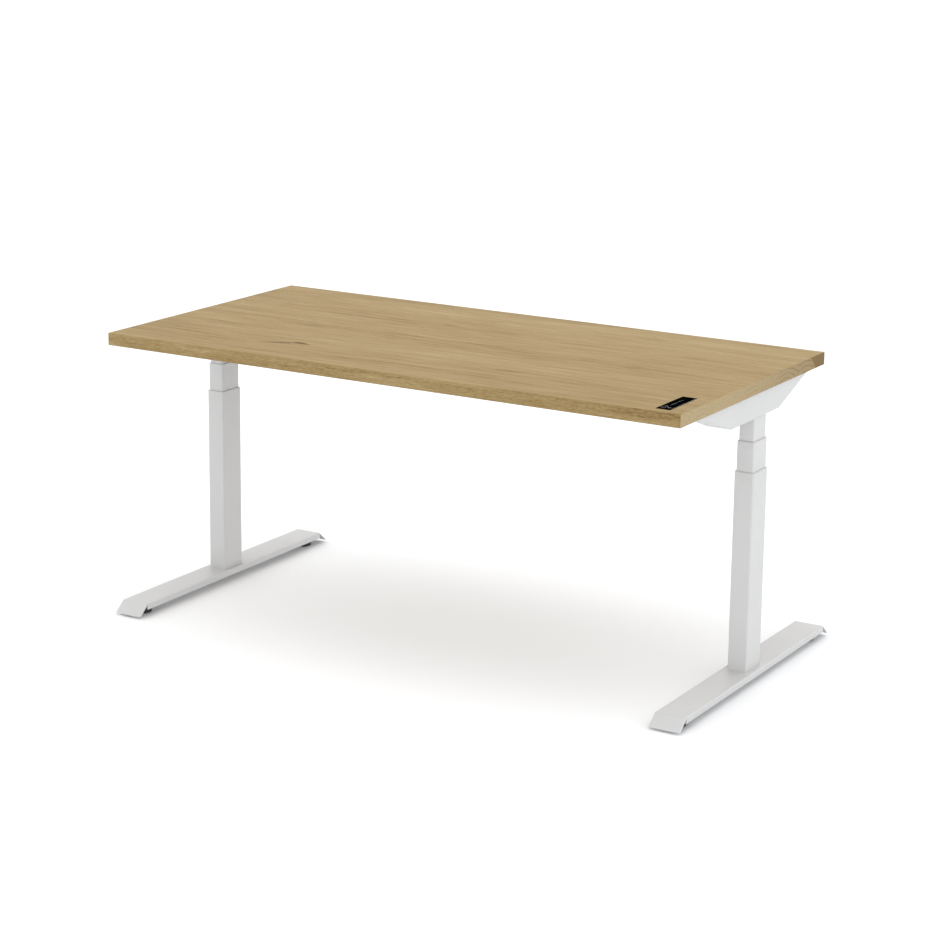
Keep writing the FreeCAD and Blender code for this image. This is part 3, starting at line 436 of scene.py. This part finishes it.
oakSet = {
    "staveWidth": 0.118,
    "staveStart": 0.031,
    "ringPitch": 0.0036,
    "knots": [  # x, y, half length, half width, slope of its line, strength
        (-0.372, -0.293, 0.044, 0.0085, 0.45, 1.0),
        (-0.318, -0.274, 0.030, 0.0065, -0.12, 0.9),
        (0.256, -0.267, 0.062, 0.0055, 0.07, 0.55),
        (-0.640, -0.300, 0.045, 0.0060, 0.05, 0.30),
        (-0.120, 0.120, 0.060, 0.0080, 0.0, 0.35),
        (0.520, 0.205, 0.060, 0.0080, 0.0, 0.30),
    ],
    "cream": (0.420, 0.325, 0.180, 1),
    "pale": (0.345, 0.252, 0.121, 1),
    "mid": (0.292, 0.203, 0.088, 1),
    "deep": (0.192, 0.120, 0.047, 1),
    "pore": (0.120, 0.072, 0.028, 1),
    "knot": (0.110, 0.062, 0.022, 1),
    "sawn": (0.460, 0.366, 0.215, 1),  # the two sawn ends
    "heart": (0.185, 0.128, 0.054, 1),  # their darkest stave, at the back
    "heartWidth": 0.085,
    "broadPitch": 0.013,  # between the strong rings that a sawn end shows
    "edge": 0.0012,  # how near to a side counts as on it
    "logShift": 7.0,  # how far apart along the grain the staves are drawn
    "bendFall": -0.30, "bendPull": -0.72, "coreFall": -1.0,  # of the fibres round a knot
    "pithAside": 0.20, "pithDepth": 0.05, "pithDrop": 0.10,  # a pith's place below the top
    "wanderNoise": ((0.9, 7.0, 7.0), 1.0, 3.0, 0.5), "wander": 0.045,
    "rippleNoise": ((5.0, 60.0, 60.0), 1.0, 3.0, 0.5), "ripple": 0.0035,
    "earlyRange": (0.0, 0.35, 1.0, 0.0), "lateRange": (0.55, 1.0, 0.0, 1.0),
    "earlyLine": 0.30, "lateLine": 0.10,
    "broadRange": (0.0, 0.4, 1.0, 0.0),
    "bandNoise": ((0.8, 9.0, 9.0), 1.0, 3.0, 0.5), "bandRange": (0.34, 0.66, 0.0, 1.0),
    "streakNoise": ((4.5, 75.0, 75.0), 1.0, 4.0, 0.7),
    "fibreNoise": ((14.0, 380.0, 380.0), 1.0, 3.0, 0.6),
    "bandTone": 0.24, "streakTone": 0.46, "fibreTone": 0.30, "staveTone": 0.12, "fleckTone": 0.20,
    "fleckNoise": ((90.0, 90.0, 400.0), 1.0, 3.0, 0.7), "fleckRange": (0.34, 0.66, -1.0, 1.0),
    "backPower": 1.5, "backShare": 0.50, "staveShare": 0.14,  # how a sawn end darkens
    "mottleNoise": ((150.0, 150.0, 150.0), 1.0, 3.0, 0.65), "mottle": 0.30,
    "endRange": (0.35, 0.85, 0.12, 0.60), "endLine": 0.5, "heartRelief": 0.7,
    "tones": (0.08, 0.36, 0.62, 0.92),  # where deep, mid, pale and cream stand
    "poreNoise": ((45.0, 620.0, 620.0), 1.0, 2.0, 0.5), "poreRange": (0.60, 0.70, 0.0, 1.0),
    "poreWide": (0, 1, 0.35, 1.0), "poreDark": 0.75,
    "raggedFibre": 0.35, "raggedRange": (0.35, 0.75, 0.35, 1.0),
    "knotRange": (0.20, 0.70, 0.0, 1.0),
    "rough": 0.50, "fibreRough": 0.05, "poreRough": 0.22, "gloss": 0.05,
    "earlyRelief": -0.2, "fibreRelief": 0.2, "relief": 0.00018,
}


# one knot: share falls off as a flat bell round its middle; the grain's y closes in towards the
# knot's own line by that share, so that the fibres part and run round it
def bendRoundKnot(tree, across, along, spot, given):
    x, y, length, width, slope, strength = spot
    away = calc(tree, "SUBTRACT", along, x)
    off = calc(tree, "DIVIDE", away, length)
    beside = calc(tree, "SUBTRACT", across, calc(tree, "MULTIPLY_ADD", away, slope, y))
    over = calc(tree, "DIVIDE", beside, width)
    reach = calc(tree, "MULTIPLY", off, off)
    reach = calc(tree, "ADD", reach, calc(tree, "MULTIPLY", over, over))
    bell = calc(tree, "EXPONENT", calc(tree, "MULTIPLY", reach, given["bendFall"]))
    pull = calc(tree, "MULTIPLY", bell, given["bendPull"] * strength)
    shift = calc(tree, "MULTIPLY", beside, pull)
    core = calc(tree, "EXPONENT", calc(tree, "MULTIPLY", reach, given["coreFall"]))
    return calc(tree, "ADD", across, shift), calc(tree, "MULTIPLY", core, strength)


# which stave a place is in, and three lots drawn for it
def pickStave(tree, across, given):
    index = calc(tree, "ADD", across, given["staveStart"])
    index = calc(tree, "FLOOR", calc(tree, "DIVIDE", index, given["staveWidth"]))
    dice = put(tree, "ShaderNodeTexWhiteNoise", {"W": index}, noise_dimensions="1D")
    return index, put(tree, "ShaderNodeSeparateColor", {0: dice.outputs["Color"]}).outputs


# growth rings are cylinders along X about a pith below the top that differs in each stave; ring is
# the radius over the pitch, less its whole part, and pores open where a ring begins
def growthRings(tree, logPlace, across, height, index, lots, given):
    middle = calc(tree, "MULTIPLY", calc(tree, "ADD", index, 0.5), given["staveWidth"])
    fromPith = calc(tree, "SUBTRACT", calc(tree, "ADD", across, given["staveStart"]), middle)
    stray = calc(tree, "SUBTRACT", lots[1], 0.5)
    fromPith = calc(tree, "MULTIPLY_ADD", stray, given["pithAside"], fromPith)
    below = calc(tree, "MULTIPLY_ADD", lots[2], given["pithDrop"], given["pithDepth"] - topHigh.z)
    depth = calc(tree, "ADD", height, below)
    square = calc(tree, "MULTIPLY", depth, depth)
    square = calc(tree, "MULTIPLY_ADD", fromPith, fromPith, square)
    wander = noise(tree, logPlace, *given["wanderNoise"])
    ripple = noise(tree, logPlace, *given["rippleNoise"])
    radius = calc(tree, "MULTIPLY_ADD", wander, given["wander"], calc(tree, "SQRT", square))
    radius = calc(tree, "MULTIPLY_ADD", ripple, given["ripple"], radius)
    ring = calc(tree, "FRACT", calc(tree, "DIVIDE", radius, given["ringPitch"]))
    broad = calc(tree, "FRACT", calc(tree, "DIVIDE", radius, given["broadPitch"]))
    early = rescale(tree, ring, *given["earlyRange"])
    late = rescale(tree, ring, *given["lateRange"])
    lined = calc(tree, "MULTIPLY", early, given["earlyLine"])
    lined = calc(tree, "ADD", lined, calc(tree, "MULTIPLY", late, given["lateLine"]))
    return early, lined, rescale(tree, broad, *given["broadRange"]), ripple


# one number from dark to pale wood: broad bands, streaks and fibres, all long in X
def grainTone(tree, logPlace, lot, given):
    band = rescale(tree, noise(tree, logPlace, *given["bandNoise"]), *given["bandRange"])
    streak = spreadOut(tree, noise(tree, logPlace, *given["streakNoise"]))
    fibre = spreadOut(tree, noise(tree, logPlace, *given["fibreNoise"]))
    tone = calc(tree, "MULTIPLY", band, given["bandTone"])
    tone = calc(tree, "MULTIPLY_ADD", streak, given["streakTone"], tone)
    tone = calc(tree, "MULTIPLY_ADD", fibre, given["fibreTone"], tone)
    ownTone = calc(tree, "SUBTRACT", lot, 0.5)
    return calc(tree, "MULTIPLY_ADD", ownTone, given["staveTone"], tone, clamp=True), fibre


# 1 on a side of the top, falling to 0 a little way in from it
def nearSide(tree, place, side, given):
    return rescale(tree, place, side - given["edge"], side - given["edge"] / 3, 0.0, 1.0)


# short flecks on the front and back edges, where the fibres are cut along their length
def edgeFlecks(tree, place, across, given):
    middle, half = (topLow.y + topHigh.y) / 2, (topHigh.y - topLow.y) / 2
    aside = calc(tree, "ABSOLUTE", calc(tree, "SUBTRACT", across, middle))
    onEdge = nearSide(tree, aside, half, given)
    fleck = rescale(tree, noise(tree, place, *given["fleckNoise"]), *given["fleckRange"])
    return calc(tree, "MULTIPLY", onEdge, fleck)


# the sawn ends: paler, crossed by the rings, darker from stave to stave towards the back
def sawnEnd(tree, place, along, across, height, lined, broad, lot, given):
    onEnd = nearSide(tree, calc(tree, "ABSOLUTE", along), topHigh.x, given)
    backward = rescale(tree, across, topLow.y, topHigh.y, 0.0, 1.0)
    share = calc(tree, "POWER", backward, given["backPower"])
    share = calc(tree, "MULTIPLY", share, given["backShare"])
    share = calc(tree, "MULTIPLY_ADD", lot, given["staveShare"], share)
    leaning = calc(tree, "ADD", across, calc(tree, "SUBTRACT", height, topHigh.z))
    last = calc(tree, "GREATER_THAN", leaning, topHigh.y - given["heartWidth"])
    share = calc(tree, "MAXIMUM", share, last)
    colour = blendColour(tree, share, given["sawn"], given["heart"])
    mottle = spreadOut(tree, noise(tree, place, *given["mottleNoise"]), 0.0, given["mottle"])
    dark = calc(tree, "MULTIPLY", broad, rescale(tree, backward, *given["endRange"]))
    lines = calc(tree, "MULTIPLY_ADD", lined, given["endLine"], mottle)
    dark = calc(tree, "ADD", dark, lines, clamp=True)
    kept = calc(tree, "SUBTRACT", 1.0, calc(tree, "MULTIPLY", last, given["heartRelief"]))
    dark = calc(tree, "MULTIPLY", dark, kept)
    return onEnd, blendColour(tree, dark, colour, given["deep"])


# solid staves under oil: the top shows long lines, its front edge flecks, its ends arcs of rings
def makeOak(given):
    material, tree, shader, place = startMaterial("oiledOak")
    split = put(tree, "ShaderNodeSeparateXYZ", {0: place}).outputs
    along, across, height = split["X"], split["Y"], split["Z"]
    bent, knotty = across, 0.0
    for spot in given["knots"]:
        bent, core = bendRoundKnot(tree, bent, along, spot, given)
        knotty = calc(tree, "ADD", core, knotty)
    index, lots = pickStave(tree, across, given)
    ownAlong = calc(tree, "MULTIPLY_ADD", lots[0], given["logShift"], along)
    logPlace = put(tree, "ShaderNodeCombineXYZ", {0: ownAlong, 1: bent, 2: height}).outputs[0]
    early, lined, broad, ripple = growthRings(tree, logPlace, bent, height, index, lots, given)
    tone, fibre = grainTone(tree, logPlace, lots[0], given)
    flecks = edgeFlecks(tree, place, across, given)
    tone = calc(tree, "MULTIPLY_ADD", flecks, given["fleckTone"], tone, clamp=True)
    colours = [given[name] for name in ("deep", "mid", "pale", "cream")]
    wood = ramp(tree, tone, list(zip(given["tones"], colours)))
    wood = blendColour(tree, lined, wood, given["deep"])
    pores = noise(tree, logPlace, *given["poreNoise"])
    wide = rescale(tree, early, *given["poreWide"])
    poreShare = calc(tree, "MULTIPLY", rescale(tree, pores, *given["poreRange"]), wide)
    poreDark = calc(tree, "MULTIPLY", poreShare, given["poreDark"])
    wood = blendColour(tree, poreDark, wood, given["pore"])
    ragged = calc(tree, "MULTIPLY_ADD", fibre, given["raggedFibre"], ripple)
    ragged = rescale(tree, ragged, *given["raggedRange"])
    knotMark = calc(tree, "MULTIPLY", rescale(tree, knotty, *given["knotRange"]), ragged)
    wood = blendColour(tree, knotMark, wood, given["knot"])
    onEnd, sawn = sawnEnd(tree, place, along, across, height, lined, broad, lots[1], given)
    wood = blendColour(tree, onEnd, wood, sawn)
    feed(tree, shader.inputs["Base Color"], wood)
    dull = calc(tree, "MULTIPLY_ADD", fibre, given["fibreRough"], given["rough"])
    dull = calc(tree, "MULTIPLY_ADD", poreShare, given["poreRough"], dull)
    feed(tree, shader.inputs["Roughness"], dull)
    shader.inputs["Specular IOR Level"].default_value = given["gloss"]
    relief = calc(tree, "MULTIPLY", fibre, given["fibreRelief"])
    relief = calc(tree, "MULTIPLY_ADD", early, given["earlyRelief"], relief)
    addBump(tree, shader, calc(tree, "SUBTRACT", relief, poreShare), given["relief"])
    return material


oak = makeOak(oakSet)
print("oak ready")

glassSet = {
    "colour": (0.0012, 0.0012, 0.0014, 1),
    "dust": (0.005, 0.005, 0.0055, 1),
    "smearNoise": ((1, 0.5, 1), 80.0, 5.0, 0.65, 1.5),
    "smearRange": (0.50, 0.75, 0.0, 1.0),
    "dustNoise": ((1, 1, 1), 1500.0, 2.0),
    "dustRange": (0.72, 0.78, 0.0, 0.5),
    "smearDull": 0.3,
    "rough": 0.22,
    "smearRough": 0.16,
    "relief": 0.00001,
}


# polished black with faint finger marks: a little more roughness in soft blotches
def makePanelGlass(given):
    material, tree, shader, place = startMaterial("panelGlass")
    smear = rescale(tree, noise(tree, place, *given["smearNoise"]), *given["smearRange"])
    dust = rescale(tree, noise(tree, place, *given["dustNoise"]), *given["dustRange"])
    dulled = calc(tree, "MAXIMUM", calc(tree, "MULTIPLY", smear, given["smearDull"]), dust)
    colour = blendColour(tree, dulled, given["colour"], given["dust"])
    feed(tree, shader.inputs["Base Color"], colour)
    dull = calc(tree, "MULTIPLY_ADD", smear, given["smearRough"], given["rough"])
    feed(tree, shader.inputs["Roughness"], dull)
    shader.inputs["Specular IOR Level"].default_value = 0.0
    addBump(tree, shader, smear, given["relief"])
    return material


panelGlass = makePanelGlass(glassSet)

boardSet = {
    "mask": (0.012, 0.10, 0.045, 1),
    "track": (0.03, 0.19, 0.09, 1),
    "part": (0.03, 0.03, 0.033, 1),
    "thick": 0.0017,
    "pattern": 120.0,
    "trackWidth": 0.06,
    "mottleScale": 200.0,
    "roughFrom": 0.3,
    "roughTo": 0.45,
    "relief": 0.00004,
}


# green up to the board's face, with a grid of tracks, and dark above it where the parts stand
def makeCircuitBoard(given):
    material, tree, shader, place = startMaterial("circuitBoard")
    split = put(tree, "ShaderNodeSeparateXYZ", {0: place}).outputs
    tracks = put(tree, "ShaderNodeTexBrick", {
        "Vector": place, "Scale": given["pattern"], "Mortar Size": given["trackWidth"],
        "Color1": (0, 0, 0, 1), "Color2": (0.1, 0.1, 0.1, 1), "Mortar": (1, 1, 1, 1),
    })
    board = blendColour(tree, tracks.outputs["Color"], given["mask"], given["track"])
    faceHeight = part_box("control_board")[0].z + given["thick"]
    high = calc(tree, "GREATER_THAN", split["Z"], faceHeight)
    feed(tree, shader.inputs["Base Color"], blendColour(tree, high, board, given["part"]))
    mottle = noise(tree, place, (1, 1, 1), given["mottleScale"])
    rough = spreadOut(tree, mottle, given["roughFrom"], given["roughTo"])
    feed(tree, shader.inputs["Roughness"], rough)
    addBump(tree, shader, tracks.outputs["Fac"], given["relief"])
    return material


circuitBoard = makeCircuitBoard(boardSet)

# the finish of each material slot
wears = {
    "oak": oak,
    "white_steel": finish["powderCoat"],
    "guide_plastic": finish["guidePlastic"],
    "zinc_steel": finish["zincPlate"],
    "screw_steel": turnedSteel,
    "dark_plastic": finish["blackMoulding"],
    "glide_plastic": finish["glidePlastic"],
    "bronze": finish["bronzeCast"],
    "gearbox_plastic": finish["gearboxPlastic"],
    "motor_can": finish["motorPaint"],
    "box_plastic": finish["blackMoulding"],
    "circuit_board": circuitBoard,
    "inlet_plastic": finish["blackMoulding"],
    "panel_black": panelGlass,
    "lead_rubber": finish["leadSheath"],
}
for part in frame["record"]["subparts"]:
    for place in nodes[part["node"]].material_slots:
        place.material = wears[part["material_slot"]]
print("finishes given to the frame")


sharpAngle = math.radians(32)  # an edge turned further than this stays crisp


# faces between rows of points, which wrap round; a ring of rows wraps end to end as well, and
# anything else is closed by a face at each end
def rowFaces(count, across, start=0, ring=False):
    index = start + np.arange(count * across).reshape(count, across)
    lower = index if ring else index[:-1]
    upper = np.roll(index, -1, axis=0) if ring else index[1:]
    sides = np.stack((lower, np.roll(lower, -1, 1), np.roll(upper, -1, 1), upper), -1)
    faces = sides.reshape(-1, 4).tolist()
    return faces if ring else faces + [index[0, ::-1].tolist(), index[-1].tolist()]


# a piece from points and faces, riding on a body, in the finish of a slot or in one of its own
def makePiece(name, points, faces, wear, body, ownFinish=None):
    mesh = bpy.data.meshes.new(name)
    mesh.from_pydata(points.reshape(-1, 3).tolist(), [], faces)
    mesh.materials.append(ownFinish or wears[wear])
    mesh.shade_smooth()
    mesh.set_sharp_from_angle(angle=sharpAngle)
    piece = bpy.data.objects.new(name, mesh)
    bpy.context.scene.collection.objects.link(piece)
    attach(piece, body)
    return piece


# rings about an axis: each (radius, height) of the profile is a ring of points, and cut takes the
# thread's depth off it; axis "x" lays the same body along X
def ringPoints(centre, profile, cut, around, axis="z"):
    angle = np.arange(around) * 2 * np.pi / around
    radius = profile[:, :1] - cut
    height = np.repeat(profile[:, 1:], around, axis=1)
    flat, tall = radius * np.cos(angle), radius * np.sin(angle)
    order = (height, flat, tall) if axis == "x" else (flat, tall, height)
    return np.stack(order, -1) + np.array(centre)


# depth of a cut thread: nothing on the crest, all of it in the root, where the height over the
# pitch less the share of a turn is half way between whole numbers; it runs out over one pitch
def threadCut(profile, span, pitch, depth, around, hand=1):
    turn = np.arange(around) / around
    height = profile[:, 1:]
    phase = (height / pitch - hand * turn) % 1.0
    shape = np.clip(1.5 - 4 * np.abs(phase - 0.5), 0, 1)
    runOut = np.clip(np.minimum(height - span[0], span[1] - height) / pitch, 0, 1)
    return depth * shape * runOut


# plain points before and after a threaded stretch that has several rings to each pitch
def threadedProfile(before, radius, span, pitch, after, perPitch):
    rows = int(round((span[1] - span[0]) / pitch * perPitch)) + 1
    heights = np.linspace(span[0], span[1], rows)
    thread = np.stack((np.full(rows, radius), heights), -1)
    return np.concatenate([np.reshape(before, (-1, 2)), thread, np.reshape(after, (-1, 2))])


# middle of a node in plan, and its lowest and highest point
def uprightOf(node):
    low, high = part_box(node)
    return ((low.x + high.x) / 2, (low.y + high.y) / 2, 0.0), low.z, high.z


# lead is the height of one turn; plainFoot and plainEnd are the lengths with no thread
screwSet = {
    "lead": 0.005, "depth": 0.0011, "around": 36, "perPitch": 6,
    "fixedRadius": 0.006, "plainFoot": 0.004, "point": 0.001,
    "hollowRadius": 0.013, "journal": 0.0125, "journalLength": 0.012, "bore": 0.009,
    "nutBore": 0.00605, "nutLength": 0.022, "splineBore": 0.00855, "splineLength": 0.020,
    "hollowDepth": 0.0009, "plainEnd": 0.002,
}


# solid right-hand screw with a bevelled top
def makeFixedScrew(side, given):
    node = "fixed_screw_" + side
    centre, low, high = uprightOf(node)
    radius, point, pitch = given["fixedRadius"], given["point"], given["lead"]
    plain = given["plainFoot"]
    span = (low + 2 * plain, high - point)
    before = [(radius, low), (radius, low + plain)]
    after = [(radius - point, high)]
    profile = threadedProfile(before, radius, span, pitch, after, given["perPitch"])
    cut = threadCut(profile, span, pitch, given["depth"], given["around"])
    points = ringPoints(centre, profile, cut, given["around"])
    faces = rowFaces(len(profile), given["around"])
    piece = makePiece("fixedScrew_" + side, points, faces, "screw_steel", side + "_base")
    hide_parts(node)


# turning screw: a closed section, with left-hand thread outside, then splines, bore and nut inside
def makeHollowScrew(side, given):
    node = "hollow_screw_" + side
    centre, low, high = uprightOf(node)
    radius, pitch = given["hollowRadius"], given["lead"]
    shoulder, point = low + given["journalLength"], given["point"]
    nutTop, splineLow = low + given["nutLength"], high - given["splineLength"]
    span = (shoulder + given["plainEnd"], high - given["plainEnd"])
    before = [(given["journal"], low), (given["journal"], shoulder), (radius, shoulder)]
    after = [
        (radius, high - point), (radius - point, high),
        (given["splineBore"], high), (given["splineBore"], splineLow),
        (given["bore"], splineLow), (given["bore"], nutTop),
        (given["nutBore"], nutTop), (given["nutBore"], low),
    ]
    profile = threadedProfile(before, radius, span, pitch, after, given["perPitch"])
    outside = len(profile) - len(after)
    cut = threadCut(profile, span, pitch, given["hollowDepth"], given["around"], hand=-1)
    cut[outside:] = 0
    points = ringPoints(centre, profile, cut, given["around"])
    faces = rowFaces(len(profile), given["around"], ring=True)
    body = side + "_hollow_screw"
    piece = makePiece("hollowScrew_" + side, points, faces, "screw_steel", body)
    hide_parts(node)


for side in ("left", "right"):
    makeFixedScrew(side, screwSet)
    makeHollowScrew(side, screwSet)
print("lead screws threaded")

wormSet = {
    "radius": 0.006, "depth": 0.0016, "shaft": 0.003, "length": 0.019,
    "wheelRadius": 0.015, "teeth": 28, "around": 48, "perPitch": 16,
}


# the shaft along X with one helical tooth cut on it, its pitch the wheel's rim over its teeth
def makeWorm(side, given):
    node = "worm_shaft_" + side
    low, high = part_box(node)
    pitch = 2 * math.pi * given["wheelRadius"] / given["teeth"]
    column = uprightOf("worm_wheel_" + side)[0][0]
    centre = (0.0, (low.y + high.y) / 2, (low.z + high.z) / 2)
    half, around = given["length"] / 2, given["around"]
    start, end = column - half, column + half
    before = [(given["shaft"], low.x), (given["shaft"], start)]
    after = [(given["shaft"], end), (given["shaft"], high.x)]
    radius, span, perPitch = given["radius"], (start, end), given["perPitch"]
    profile = threadedProfile(before, radius, span, pitch, after, perPitch)
    local = profile - np.array([0.0, column])  # heights from the middle of the tooth
    cut = threadCut(local, (-half - pitch, half + pitch), pitch, given["depth"], around)
    cut[np.isclose(profile[:, 0], given["shaft"])] = 0
    points = ringPoints(centre, profile, cut, around, axis="x")
    faces = rowFaces(len(profile), around)
    piece = makePiece("worm_" + side, points, faces, "screw_steel", side + "_worm")
    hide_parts(node)


for side in ("left", "right"):
    makeWorm(side, wormSet)
print("worms cut")

studSet = {
    "pitch": 0.00125, "depth": 0.00068, "radius": 0.004, "head": 0.007, "headThick": 0.002,
    "neck": 0.001, "point": 0.0008, "around": 36, "perPitch": 8,
}


# M8 stud: round head at the bottom, then thread to its bevelled tip
def makeStud(end, side, given):
    node = f"glide_stud_{end}_{side}"
    centre, low, high = uprightOf(node)
    headTop = low + given["headThick"]
    span = (headTop + given["neck"], high - given["point"])
    radius = given["radius"]
    before = [(given["head"], low), (given["head"], headTop), (radius, headTop)]
    after = [(radius - given["point"], high)]
    profile = threadedProfile(before, radius, span, given["pitch"], after, given["perPitch"])
    cut = threadCut(profile, span, given["pitch"], given["depth"], given["around"])
    points = ringPoints(centre, profile, cut, given["around"])
    faces = rowFaces(len(profile), given["around"])
    body = f"glide_{end}_{side}"
    piece = makePiece(f"glideStud_{end}_{side}", points, faces, "zinc_steel", body)
    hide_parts(node)


for side in ("left", "right"):
    for end in ("front", "back"):
        makeStud(end, side, studSet)
print("levelling studs threaded")

marksSet = {
    "thick": 0.00006,
    "sink": 0.00002,
    "stroke": 0.0013,  # width of the keys and dashes
    "fine": 0.0005,  # and of the printed middle line and the painted highlight line
    "keyHalf": 0.0036,
    "keyRise": 0.0046,
    "keys": [(0.36, 0.225, 1), (0.66, 0.150, -1)],  # share across, share along, up or down
    "dashes": [(0.10, 0.20), (0.24, 0.34), (0.38, 0.48)],  # shares across
    "dashAlong": 0.135,
    "midLine": (0.45, 0.30, 0.78),  # share across, then from and to along
    # painted highlight along the glass's right-hand edge: share across, then from and to along
    "edgeHighlightLine": (0.955, 0.04, 0.96),
}


# a flat strip along a line of points: its half width goes out along the mitre at each point
def stripPoints(line, width, low, thick):
    line = np.array(line, float)
    run = np.diff(line, axis=0)
    run /= np.linalg.norm(run, axis=1, keepdims=True)
    left = np.stack((-run[:, 1], run[:, 0]), -1)
    first, second = np.vstack((left[:1], left)), np.vstack((left, left[-1:]))
    mitre = (first + second) / (1 + np.sum(first * second, 1, keepdims=True)) * width / 2
    corners = np.stack((line + mitre, line + mitre, line - mitre, line - mitre), 1)
    heights = np.broadcast_to([low, low + thick, low + thick, low], corners.shape[:2])
    return np.dstack((corners, heights))


# printed chevron keys, dashes and a middle line, and a painted highlight along the right edge
def makePanelMarks(given):
    wide, deep = panelHigh.x - panelLow.x, panelHigh.y - panelLow.y
    corner, reach = np.array((panelLow.x, panelLow.y)), np.array((wide, deep))
    spot = lambda across, along: corner + reach * (across, along)
    lines = []
    for across, along, way in given["keys"]:
        tip = np.array((0, way * given["keyRise"] / 2))
        foot = np.array((given["keyHalf"], 0))
        middle = spot(across, along)
        chevron = [middle - foot - tip, middle + tip, middle + foot - tip]
        lines.append((chevron, given["stroke"]))
    for start, end in given["dashes"]:
        dash = [spot(start, given["dashAlong"]), spot(end, given["dashAlong"])]
        lines.append((dash, given["stroke"]))
    # the printed middle line and the painted highlight along the right-hand edge, both fine
    for across, start, end in (given["midLine"], given["edgeHighlightLine"]):
        lines.append(([spot(across, start), spot(across, end)], given["fine"]))
    points, faces, start = [], [], 0
    for line, width in lines:
        strip = stripPoints(line, width, panelHigh.z - given["sink"], given["thick"])
        points.append(strip.reshape(-1, 3))
        faces += rowFaces(len(line), 4, start)
        start += 4 * len(line)
    points, paint = np.concatenate(points), finish["panelPrintAndHighlight"]
    makePiece("panelMarks", points, faces, None, "upper_frame", paint)


# printed marks, with a painted highlight along the panel's right-hand edge
makePanelMarks(marksSet)
print("panel marks printed")
